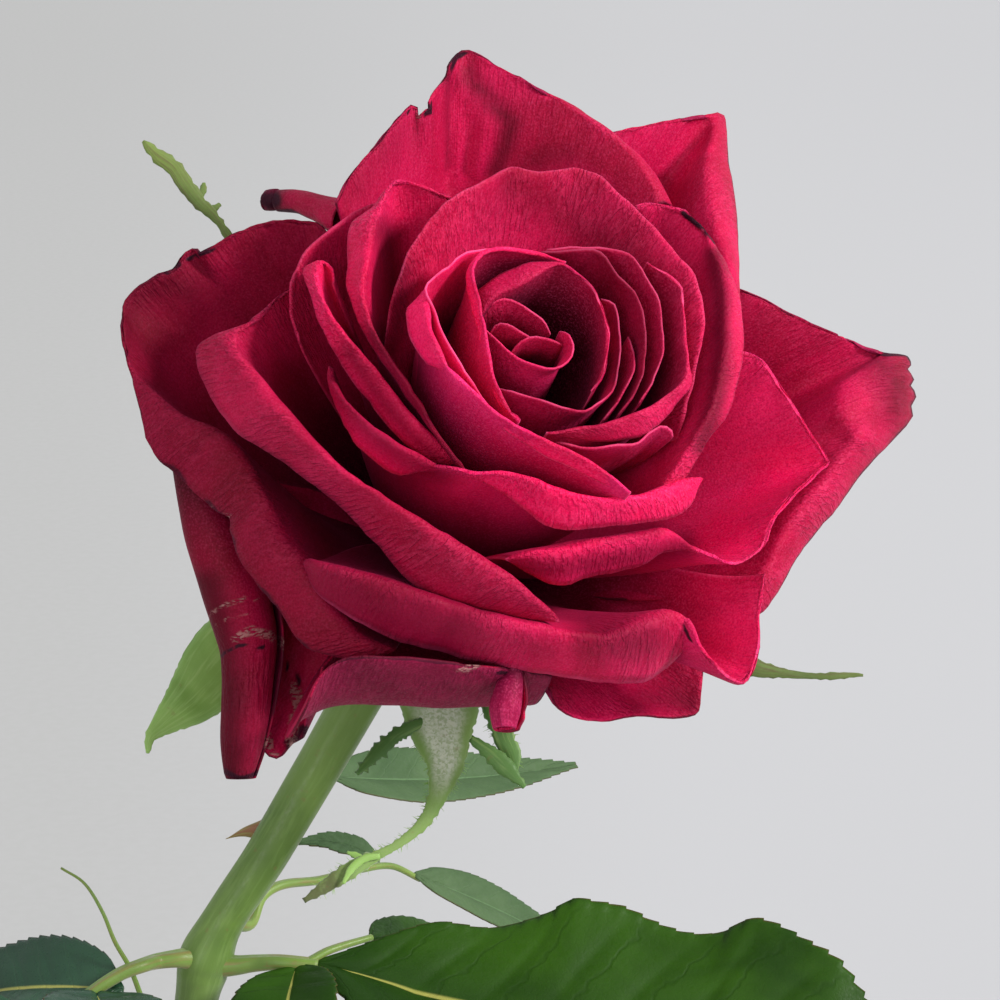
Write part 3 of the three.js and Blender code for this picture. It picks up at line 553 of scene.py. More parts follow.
class Graph:
    """A short way to lay out nodes."""

    def __init__(self, tree: bpy.types.NodeTree) -> None:
        """Works on a node tree.

        Args:
            tree: The tree.
        """
        self.tree = tree

    def feed(self, socket: Socket, value: object) -> None:
        """Joins a socket to another, or sets its value."""
        if isinstance(value, Socket):
            self.tree.links.new(value, socket)
        elif isinstance(value, tuple) and socket.type == "RGBA" and len(value) == 3:
            socket.default_value = (*value, 1.0)
        else:
            socket.default_value = value

    def node(self, kind: str, inputs: dict[str, object] | None = None, **settings: object) -> bpy.types.Node:
        """Adds a node.

        Args:
            kind: Its type.
            inputs: Socket name or number to a value, or to a socket to join.
            settings: Properties of the node.

        Returns:
            The node.
        """
        made = self.tree.nodes.new(kind)
        for key, value in settings.items():
            setattr(made, key, value)
        for key, value in (inputs or {}).items():
            self.feed(made.inputs[int(key)] if key.isdigit() else made.inputs[key], value)
        return made

    def math(self, operation: str, a: object, b: object = 0.0) -> Socket:
        """A maths node's result."""
        return self.node("ShaderNodeMath", {"0": a, "1": b}, operation=operation).outputs["Value"]

    def times(self, *values: object) -> Socket:
        """The product of two or more values."""
        product, *others = values
        for other in others:
            product = self.math("MULTIPLY", product, other)
        return product

    def sideways(self, part: Socket) -> Socket:
        """How far from a blade's middle line a place is, up to 1 at its edge."""
        across = self.times(self.parts(part).outputs["X"], 2.0)
        return self.math("ABSOLUTE", self.math("SUBTRACT", across, 1.0))

    def ramp(self, value: object, low: object, high: object,
             out_low: float = 0.0, out_high: float = 1.0) -> Socket:
        """A smooth rise of a value between two limits."""
        made = self.node("ShaderNodeMapRange", {
            "Value": value, "From Min": low, "From Max": high, "To Min": out_low, "To Max": out_high,
        }, interpolation_type="SMOOTHSTEP", clamp=True)
        return made.outputs["Result"]

    def mix(self, factor: object, a: object, b: object) -> Socket:
        """A mix of two colours."""
        made = self.node("ShaderNodeMix", {"0": factor, "6": a, "7": b}, data_type="RGBA", clamp_factor=True)
        return made.outputs[2]

    def stretched(self, source: Socket, scale: Place) -> Socket:
        """Coordinates stretched by a scale along each axis."""
        return self.node("ShaderNodeMapping", {"Vector": source, "Scale": scale}).outputs["Vector"]

    def parts(self, vector: Socket) -> bpy.types.Node:
        """A vector's X, Y and Z."""
        return self.node("ShaderNodeSeparateXYZ", {"Vector": vector})

    def noise(self, source: Socket, scale: object, detail: float = 2.0, distortion: float = 0.0) -> Socket:
        """A noise pattern's value."""
        made = self.node("ShaderNodeTexNoise", {
            "Vector": source, "Scale": scale, "Detail": detail, "Distortion": distortion,
        })
        return made.outputs["Fac"]

    def effect(self, tree: bpy.types.NodeTree, **inputs: object) -> bpy.types.Node:
        """Places a shared effect.

        Args:
            tree: The effect's node group.
            inputs: Its inputs by name.

        Returns:
            The group's node.
        """
        return self.node("ShaderNodeGroup", dict(inputs), node_tree=tree)


class Effect(Graph):
    """A shared effect: a node group with named inputs and outputs."""

    def __init__(self, name: str, inputs: dict[str, str], outputs: dict[str, str]) -> None:
        """Starts the group.

        Args:
            name: Its name.
            inputs: Input names and their kinds: Float, Color or Vector.
            outputs: The same for its outputs.
        """
        super().__init__(bpy.data.node_groups.new(name, "ShaderNodeTree"))
        for sockets, way in ((inputs, "INPUT"), (outputs, "OUTPUT")):
            for key, kind in sockets.items():
                self.tree.interface.new_socket(name=key, in_out=way, socket_type=f"NodeSocket{kind}")
        self.given = self.tree.nodes.new("NodeGroupInput").outputs
        self.made = self.tree.nodes.new("NodeGroupOutput").inputs


@cache
def cloud() -> bpy.types.NodeTree:
    """Soft patches of a darker and a lighter colour."""
    e = Effect("cloud", {"Place": "Vector", "Scale": "Float", "Dark": "Color", "Light": "Color"},
               {"Color": "Color"})
    patches = e.noise(e.given["Place"], e.given["Scale"], 3.0, 0.6)
    e.feed(e.made["Color"], e.mix(e.ramp(patches, 0.30, 0.70), e.given["Dark"], e.given["Light"]))
    return e.tree


@cache
def crepe() -> bpy.types.NodeTree:
    """Fine wrinkles that run along a blade: their height, and their crests alone."""
    e = Effect("crepe", {"Flat": "Vector", "Fineness": "Float", "Length": "Float"},
               {"Height": "Float", "Crests": "Float"})
    flat = e.parts(e.given["Flat"])
    pressed = e.node("ShaderNodeCombineXYZ", {
        "X": e.times(flat.outputs["X"], e.given["Fineness"]),
        "Y": e.math("DIVIDE", flat.outputs["Y"], e.given["Length"]),
    }).outputs["Vector"]
    coarse = e.noise(pressed, 1.0, 2.0, 0.9)
    fine = e.noise(pressed, 2.3, 1.0, 0.4)
    e.feed(e.made["Height"], e.math("ADD", e.times(coarse, 0.7), e.times(fine, 0.3)))
    e.feed(e.made["Crests"], e.ramp(e.noise(pressed, 1.0, 2.0, 0.35), 0.36, 0.62))
    return e.tree


@cache
def grain() -> bpy.types.NodeTree:
    """The small bumps of a living skin."""
    e = Effect("grain", {"Place": "Vector", "Scale": "Float"}, {"Height": "Float"})
    cells = e.node("ShaderNodeTexVoronoi", {"Vector": e.given["Place"], "Scale": e.given["Scale"]})
    loose = e.noise(e.given["Place"], e.times(e.given["Scale"], 0.5), 2.0)
    height = e.math("SUBTRACT", loose, e.times(cells.outputs["Distance"], 0.5))
    e.feed(e.made["Height"], height)
    return e.tree


@cache
def rim_line() -> bpy.types.NodeTree:
    """A line along a blade's rim that wanders in and out."""
    e = Effect("rim_line", {"Part": "Vector", "Place": "Vector", "Start": "Float", "Wander": "Float"},
               {"Mask": "Float"})
    near = e.math("MAXIMUM", e.parts(e.given["Part"]).outputs["Y"], e.sideways(e.given["Part"]))
    wander = e.times(e.math("SUBTRACT", e.noise(e.given["Place"], 160.0, 3.0), 0.5), e.given["Wander"])
    full = e.math("ADD", e.given["Start"], 0.012)
    e.feed(e.made["Mask"], e.ramp(e.math("ADD", near, wander), e.given["Start"], full))
    return e.tree


@cache
def leaf_veins() -> bpy.types.NodeTree:
    """A leaf's midrib, its slanting side veins and the net between them."""
    e = Effect("leaf_veins", {"Part": "Vector", "Flat": "Vector", "Pairs": "Float", "Slant": "Float"},
               {"Rib": "Float", "Vein": "Float", "Net": "Float"})
    side = e.sideways(e.given["Part"])
    wobble = e.times(e.noise(e.given["Flat"], 0.25, 2.0), 0.05)
    bent = e.math("ADD", e.parts(e.given["Part"]).outputs["Y"], wobble)
    along = e.math("SUBTRACT", bent, e.times(side, e.given["Slant"]))
    turn = e.math("FRACT", e.times(along, e.given["Pairs"]))
    off = e.math("ABSOLUTE", e.math("SUBTRACT", turn, 0.5))
    vein = e.times(e.ramp(off, 0.44, 0.5), e.ramp(side, 0.75, 1.0, 1.0, 0.2))
    e.feed(e.made["Vein"], vein)
    e.feed(e.made["Rib"], e.ramp(side, 0.015, 0.06, 1.0, 0.0))
    cells = e.node("ShaderNodeTexVoronoi", {"Vector": e.given["Flat"], "Scale": 0.9},
                   feature="DISTANCE_TO_EDGE")
    e.feed(e.made["Net"], e.ramp(cells.outputs["Distance"], 0.0, 0.16, 1.0, 0.0))
    return e.tree


class Shader(Graph):
    """A material with one Principled shader."""

    def __init__(self, name: str) -> None:
        """Starts an empty material.

        Args:
            name: The material's name.
        """
        self.material = bpy.data.materials.new(name)
        self.material.use_nodes = True
        super().__init__(self.material.node_tree)
        self.tree.nodes.clear()
        output = self.tree.nodes.new("ShaderNodeOutputMaterial")
        self.surface = self.tree.nodes.new("ShaderNodeBsdfPrincipled")
        self.tree.links.new(self.surface.outputs["BSDF"], output.inputs["Surface"])
        self.place = self.node("ShaderNodeTexCoord").outputs["Object"]

    def uv(self, name: str) -> Socket:
        """A UV map of the piece."""
        return self.node("ShaderNodeUVMap", uv_map=name).outputs["UV"]

    def value(self, name: str) -> Socket:
        """A named value of the piece."""
        return self.node("ShaderNodeAttribute", attribute_name=name).outputs["Fac"]

    def set(self, **values: object) -> None:
        """Sets or joins the shader's own sockets, named with _ for a space."""
        for key, value in values.items():
            self.feed(self.surface.inputs[key.replace("_", " ")], value)

    def bumps(self, *layers: tuple[Socket, float]) -> Socket:
        """Bumps laid over each other.

        Args:
            layers: Heights from 0 to 1, and how many millimetres 1 stands for.

        Returns:
            The normal.
        """
        normal: Socket | None = None
        for height, distance in layers:
            inputs: dict[str, object] = {"Height": height, "Distance": distance * MM}
            if normal is not None:
                inputs["Normal"] = normal
            normal = self.node("ShaderNodeBump", inputs).outputs["Normal"]
        return normal


@dataclass(frozen=True)
class PetalFinish:
    """Velvety crimson petal skin, with crepe towards a rim that dries, and with light and shade painted in:
    an overall lighting level, shade towards the root, in furrows and under shade marks, and highlights on
    crests, pale specks and the rim line.
    """

    name: str
    # deep: the darkest red, painted shade towards the root, in the crepe's furrows and under shade marks;
    # also the colour of darker veins and specks
    deep: Colour = (0.075, 0.0003, 0.008)
    dark: Colour = (0.47, 0.0010, 0.042)
    light: Colour = (0.70, 0.0075, 0.087)
    # rim and rim_amount: pale pink for painted highlights on crests and specks, and for the rim line, which
    # is partly the petal's own paler edge and partly a painted highlight
    rim: Colour = (0.80, 0.095, 0.25)
    rim_amount: float = 0.3
    root_shade: tuple[float, float] = (0.15, 0.70)  # part of its length over which painted shade towards the root fades
    dried: Colour = (0.030, 0.004, 0.012)
    dried_rim: float = 0.0
    crepe_depth: float = 0.20  # millimetres
    crepe_from: tuple[float, float] = (0.45, 0.85)  # part of its length over which the crepe grows
    crest_highlight: float = 0.10  # painted highlight: how far the wrinkles' crests pale
    furrow_shade: float = 0.11  # painted shade: how far their furrows darken
    # how far shade marks darken the skin: painted shade
    shade_amount: float = 0.80
    torn: Colour = (0.44, 0.24, 0.22)
    torn_amount: float = 0.6
    torn_depth: float = 0.10  # millimetres
    skin_depth: float = 0.045  # millimetres
    sheen: float = 0.06
    brightest: float = 0.95  # the most that the painted lighting may scale a colour's red to
    warming: float = 0.12  # how little green and blue follow the painted lighting

    def with_painted_lighting(self, tone: float) -> "PetalFinish":
        """The same skin, painted darker or lighter for the light and shade that falls on one petal.

        Args:
            tone: How much lighter or darker it is painted than this one, as painted light and shade.

        Returns:
            The finish.
        """
        def scaled(colour: Colour) -> Colour:
            """A colour at the painted lighting, with its red kept under the brightest."""
            red, *others = (part * min(tone, self.brightest / max(colour)) for part in colour)
            return red, *(part * tone ** self.warming for part in others)

        dark, light, deep, rim = (scaled(colour) for colour in (self.dark, self.light, self.deep, self.rim))
        return replace(self, name=f"{self.name}_{tone:.2f}", dark=dark, light=light, deep=deep, rim=rim)

    def build(self) -> bpy.types.Material:
        """Lays out the material's nodes.

        Returns:
            The material.
        """
        s = Shader(self.name)
        part, flat = s.uv("part"), s.uv("scale")
        along = s.parts(part).outputs["Y"]
        folds = s.effect(crepe(), Flat=flat, Fineness=1.9, Length=3.2).outputs["Crests"]
        veins = s.effect(crepe(), Flat=flat, Fineness=0.35, Length=16.0).outputs["Height"]
        skin = s.effect(grain(), Place=s.place, Scale=3400.0).outputs["Height"]
        face = s.effect(cloud(), Place=s.place, Scale=70.0, Dark=self.dark, Light=self.light).outputs["Color"]
        # painted shade: darker towards the root, deep in the bloom
        face = s.mix(s.ramp(along, *self.root_shade), self.deep, face)
        face = s.mix(s.ramp(veins, 0.36, 0.62, 0.12, 0.0), face, self.deep)
        patchy = s.ramp(s.noise(s.place, 90.0, 2.0), 0.36, 0.60, 0.15, 1.0)
        strength = s.times(s.ramp(along, *self.crepe_from, 0.10, 1.0), patchy)
        # painted highlight on the crepe's crests and painted shade in its furrows
        face = s.mix(s.times(folds, strength, self.crest_highlight), face, self.rim)
        face = s.mix(s.times(s.math("SUBTRACT", 1.0, folds), strength, self.furrow_shade), face, self.deep)
        # random speckle: dark specks, and pale specks painted as velvet glints
        speckle = s.noise(s.place, 3600.0, 2.0)
        face = s.mix(s.ramp(speckle, 0.48, 0.70, 0.0, 0.16), face, self.rim)
        face = s.mix(s.ramp(speckle, 0.30, 0.52, 0.26, 0.0), face, self.deep)
        # painted shade under shade marks
        face = s.mix(s.ramp(s.value("shade"), 0.0, 0.8, 0.0, self.shade_amount), face, self.deep)
        # paler line along the rim: partly the petal's own paler edge, partly a painted highlight
        edge = s.effect(rim_line(), Part=part, Place=s.place, Start=0.985, Wander=0.012).outputs["Mask"]
        broken = s.times(edge, s.ramp(s.noise(s.place, 200.0, 2.0), 0.35, 0.60, 0.25, 1.0))
        face = s.mix(s.times(broken, self.rim_amount), face, self.rim)
        if self.dried_rim:
            dry = s.effect(rim_line(), Part=part, Place=s.place, Start=0.99, Wander=0.10).outputs["Mask"]
            face = s.mix(s.times(dry, self.dried_rim), face, self.dried)
        dark_mark = s.times(s.value("dry"), s.ramp(s.noise(s.place, 420.0, 3.0), 0.25, 0.5, 0.6, 1.0))
        face = s.mix(s.ramp(dark_mark, 0.3, 0.7), face, self.dried)
        torn = s.noise(s.stretched(s.place, (1.0, 1.0, 3.0)), 950.0, 6.0, 1.0)
        scarred = s.ramp(s.times(s.value("scar"), s.ramp(torn, 0.36, 0.58)), 0.12, 0.50)
        face = s.mix(s.times(scarred, self.torn_amount), face, self.torn)
        s.set(Base_Color=face, Roughness=s.ramp(skin, 0.0, 0.5, 0.66, 0.52),
              Normal=s.bumps((s.times(folds, strength), self.crepe_depth), (skin, self.skin_depth),
                             (scarred, self.torn_depth)),
              Sheen_Weight=self.sheen, Sheen_Roughness=0.4, Sheen_Tint=(1.0, 0.10, 0.35, 1.0),
              Specular_IOR_Level=0.10, Subsurface_Weight=0.10, Subsurface_Radius=(1.0, 0.10, 0.18),
              Subsurface_Scale=1.0 * MM)
        return s.material


@dataclass(frozen=True)
class GreenFinish:
    """Smooth or downy green skin with streaks along it and small pores."""

    name: str
    dark: Colour
    light: Colour
    streak: Colour
    streak_amount: float = 0.35
    down: Colour = (0.67, 0.69, 0.59)
    down_amount: float = 0.0
    ruddy: Colour = (0.20, 0.07, 0.03)
    ruddy_rim: float = 0.0
    tip: Colour = (0.055, 0.060, 0.016)
    dark_tip: float = 0.0
    roughness: float = 0.48
    relief: float = 0.05  # millimetres

    def build(self) -> bpy.types.Material:
        """Lays out the material's nodes.

        Returns:
            The material.
        """
        s = Shader(self.name)
        part, flat = s.uv("part"), s.uv("scale")
        streaks = s.effect(crepe(), Flat=flat, Fineness=1.1, Length=9.0).outputs["Height"]
        skin = s.effect(grain(), Place=s.place, Scale=2600.0).outputs["Height"]
        face = s.effect(cloud(), Place=s.place, Scale=55.0, Dark=self.dark, Light=self.light).outputs["Color"]
        face = s.mix(s.ramp(streaks, 0.46, 0.66, 0.0, self.streak_amount), face, self.streak)
        if self.down_amount:
            fluff = s.noise(s.place, 2300.0, 5.0, 0.6)
            wander = s.times(s.noise(s.place, 300.0, 3.0), 0.5)
            middle = s.ramp(s.math("ADD", s.sideways(part), wander), 0.55, 1.15, 1.0, 0.0)
            tail = s.ramp(s.parts(part).outputs["Y"], 0.48, 0.60, 1.0, 0.05)
            downy = s.times(s.ramp(fluff, 0.34, 0.62, 0.45, 1.0), middle, tail, self.down_amount)
            face = s.mix(downy, face, self.down)
        if self.dark_tip:
            tip = s.ramp(s.parts(part).outputs["Y"], 0.84, 0.93, 0.0, self.dark_tip)
            patches = s.ramp(s.noise(s.place, 500.0, 3.0), 0.3, 0.5, 0.5, 1.0)
            face = s.mix(s.times(tip, patches), face, self.tip)
        if self.ruddy_rim:
            edge = s.effect(rim_line(), Part=part, Place=s.place, Start=0.93, Wander=0.25).outputs["Mask"]
            face = s.mix(s.times(edge, self.ruddy_rim), face, self.ruddy)
        pores = s.noise(s.place, 700.0, 1.0)
        face = s.mix(s.ramp(pores, 0.68, 0.78, 0.0, 0.22), face, self.ruddy)
        s.set(Base_Color=face, Roughness=s.ramp(skin, 0.0, 0.5, self.roughness + 0.1, self.roughness - 0.05),
              Normal=s.bumps((streaks, self.relief), (skin, 0.015)), Specular_IOR_Level=0.4,
              Sheen_Weight=0.15 + 0.25 * self.down_amount, Sheen_Roughness=0.5, Subsurface_Weight=0.08,
              Subsurface_Radius=(0.5, 1.0, 0.2), Subsurface_Scale=0.8 * MM)
        return s.material


@dataclass(frozen=True)
class LeafFinish:
    """Veined leaf skin: waxy above, paler and matt beneath."""

    name: str
    dark: Colour
    light: Colour
    rib: Colour = (0.30, 0.30, 0.07)
    vein: Colour = (0.16, 0.28, 0.06)
    vein_amount: float = 0.16
    rim: Colour = (0.10, 0.05, 0.02)
    roughness: float = 0.40
    pairs: float = 9.0
    slant: float = 0.13
    relief: float = 0.14  # millimetres
    net_amount: float = 0.04
    net_depth: float = 0.18  # part of the relief
    rim_amount: float = 0.5
    gloss: float = 0.4

    def build(self) -> bpy.types.Material:
        """Lays out the material's nodes.

        Returns:
            The material.
        """
        s = Shader(self.name)
        part, flat = s.uv("part"), s.uv("scale")
        veins = s.effect(leaf_veins(), Part=part, Flat=flat, Pairs=self.pairs, Slant=self.slant).outputs
        skin = s.effect(grain(), Place=s.place, Scale=1900.0).outputs["Height"]
        face = s.effect(cloud(), Place=s.place, Scale=45.0, Dark=self.dark, Light=self.light).outputs["Color"]
        face = s.mix(s.times(veins["Net"], self.net_amount), face, self.vein)
        face = s.mix(s.times(veins["Vein"], self.vein_amount), face, self.vein)
        face = s.mix(veins["Rib"], face, self.rib)
        edge = s.effect(rim_line(), Part=part, Place=s.place, Start=0.985, Wander=0.03).outputs["Mask"]
        face = s.mix(s.times(edge, self.rim_amount), face, self.rim)
        raised = s.math("MAXIMUM", veins["Vein"], s.times(veins["Net"], self.net_depth))
        groove = s.math("SUBTRACT", 1.0, raised)
        s.set(Base_Color=face, Roughness=s.ramp(skin, 0.0, 0.5, self.roughness + 0.12, self.roughness - 0.04),
              Normal=s.bumps((groove, self.relief), (skin, 0.014)), Specular_IOR_Level=self.gloss,
              Subsurface_Weight=0.05, Subsurface_Radius=(0.5, 1.0, 0.2), Subsurface_Scale=0.6 * MM)
        return s.material


@dataclass(frozen=True)
class GlazeFinish:
    """Creamy glaze over stoneware, thin and tan at the lip and bare at the foot ring."""

    name: str = "vase_cream_glaze"
    dark: Colour = (0.60, 0.565, 0.49)
    light: Colour = (0.70, 0.67, 0.60)
    speck: Colour = (0.22, 0.14, 0.08)
    thin: Colour = (0.46, 0.34, 0.23)
    bare: Colour = (0.42, 0.32, 0.23)
    lip_height: float = 149.6 * MM
    lip_fade: float = 1.2 * MM
    foot_height: float = 1.6 * MM
    foot_fade: float = 0.9 * MM

    def build(self) -> bpy.types.Material:
        """Lays out the material's nodes.

        Returns:
            The material.
        """
        s = Shader(self.name)
        height = s.parts(s.place).outputs["Z"]
        face = s.effect(cloud(), Place=s.place, Scale=28.0, Dark=self.dark, Light=self.light).outputs["Color"]
        face = s.mix(s.ramp(s.noise(s.place, 1500.0, 2.0), 0.70, 0.76, 0.0, 0.75), face, self.speck)
        wander = s.times(s.noise(s.place, 220.0, 3.0), 1.4 * MM)
        raised = s.math("ADD", height, wander)
        lip = s.ramp(raised, self.lip_height, self.lip_height + self.lip_fade, 0.0, 0.8)
        face = s.mix(lip, face, self.thin)
        foot = s.ramp(s.math("SUBTRACT", height, wander), self.foot_height - self.foot_fade, self.foot_height,
                      1.0, 0.0)
        face = s.mix(foot, face, self.bare)
        skin = s.effect(grain(), Place=s.place, Scale=420.0).outputs["Height"]
        s.set(Base_Color=face, Roughness=s.ramp(foot, 0.0, 1.0, 0.24, 0.85),
              Coat_Weight=s.ramp(foot, 0.0, 1.0, 0.55, 0.0), Coat_Roughness=0.08, Specular_IOR_Level=0.5,
              Normal=s.bumps((skin, 0.05), (s.noise(s.place, 60.0, 2.0), 0.5)))
        return s.material


@dataclass(frozen=True)
class WaterFinish:
    """Clear still water."""

    name: str = "vase_clear_water"

    def build(self) -> bpy.types.Material:
        """Lays out the material's nodes.

        Returns:
            The material.
        """
        s = Shader(self.name)
        tint = s.effect(cloud(), Place=s.place, Scale=30.0, Dark=(0.80, 0.90, 0.86), Light=(0.93, 0.97, 0.96))
        s.set(Base_Color=tint.outputs["Color"], Roughness=0.02, Transmission_Weight=1.0, IOR=1.33,
              Normal=s.bumps((s.noise(s.place, 90.0, 1.0), 0.15)))
        return s.material


@dataclass(frozen=True)
class RoomFinish:
    """Pale matt floor paint with painted light: lighter to one side and dimmer far off, as the light falls.
    """

    name: str = "room_paint_with_painted_light"
    # left and right: the paint's colour with painted light, lighter towards the right
    left: Colour = (0.43, 0.432, 0.428)
    right: Colour = (0.515, 0.517, 0.53)
    middle: float = 0.054  # metres across
    start: float = -0.421  # metres along Y from which the change widens
    slopes: tuple[float, float] = (-0.17, 0.09)  # across per along, at either end of the change
    nearest: float = 0.85  # metres past the start where the change stops narrowing
    far: tuple[float, float] = (0.3, 3.0)  # metres along Y over which painted shade dims it
    # the far colour and its amount: painted shade far off
    far_shade: Colour = (0.20, 0.20, 0.20)
    far_shade_amount: float = 0.10
    mottle_amount: float = 0.10

    def build(self) -> bpy.types.Material:
        """Lays out the material's nodes.

        Returns:
            The material.
        """
        s = Shader(self.name)
        across, along = s.parts(s.place).outputs["X"], s.parts(s.place).outputs["Y"]
        away = s.math("MAXIMUM", s.math("SUBTRACT", along, self.start), self.nearest)
        slope = s.math("DIVIDE", s.math("SUBTRACT", across, self.middle), away)
        # painted light: lighter towards the right, and painted shade far off
        tone = s.mix(s.ramp(slope, *self.slopes), self.left, self.right)
        tone = s.mix(s.ramp(along, *self.far, 0.0, self.far_shade_amount), tone, self.far_shade)
        mottle = s.ramp(s.noise(s.place, 240.0, 2.0), 0.3, 0.7, 0.0, self.mottle_amount)
        s.set(Base_Color=s.mix(mottle, tone, self.right), Roughness=0.95, Specular_IOR_Level=0.05)
        return s.material


# ------------------------------------------------------------------ bloom
class Layer(Enum):
    """The bloom's layers: height and radius where the petals leave the core, and their thickness, in mm."""

    HEART = (30.0, 3.0, 0.34)
    CUP = (20.0, 5.0, 0.34)
    RING = (9.0, 6.0, 0.38)
    SHOULDER = (3.5, 6.0, 0.45)
    MIDDLE = (2.5, 5.5, 0.5)
    GUARD = (1.6, 5.0, 0.5)


class MarkKind(Enum):
    """What a mark on a petal is; the value names what its finish reads."""

    CREASE = "crease"
    SCAR = "scar"
    DRY = "dry"
    SHADE = "shade"


@dataclass(frozen=True)
class Mark:
    """A crease, a pale scar, a dried place or a patch of painted shade on a petal, sighted along its middle.
    """

    kind: MarkKind
    width: float  # steps to each side
    line: tuple[tuple[float, float], ...]
    depth: float = 0.0  # millimetres that a crease stands back
    full: float = 1.0  # how strongly its middle is marked

    def strength(self, place: Vector) -> float:
        """How strongly it marks a place.

        Args:
            place: The place, in millimetres.

        Returns:
            From 0 to 1.
        """
        return self.full * max(0.0, 1.0 - line_distance(*SIGHT.seen(place), self.line) / self.width)


crease, scar, dry, shade = (partial(Mark, kind) for kind in MarkKind)
SKIN_MARKS = (MarkKind.SCAR, MarkKind.DRY, MarkKind.SHADE)
RimPlace = tuple[float, ...]


def skin_values(marks: Sequence[Mark]) -> tuple[tuple[str, PlaceValue], ...]:
    """The named values that a petal's finish reads.

    Args:
        marks: All its marks.

    Returns:
        Each kind's name, and how strongly marks of that kind are on a place.
    """
    def value(kind: MarkKind) -> PlaceValue:
        """How strongly marks of one kind are on a place."""
        chosen = [mark for mark in marks if mark.kind is kind]
        return lambda place: max((mark.strength(place) for mark in chosen), default=0.0)

    return tuple((kind.value, value(kind)) for kind in SKIN_MARKS)


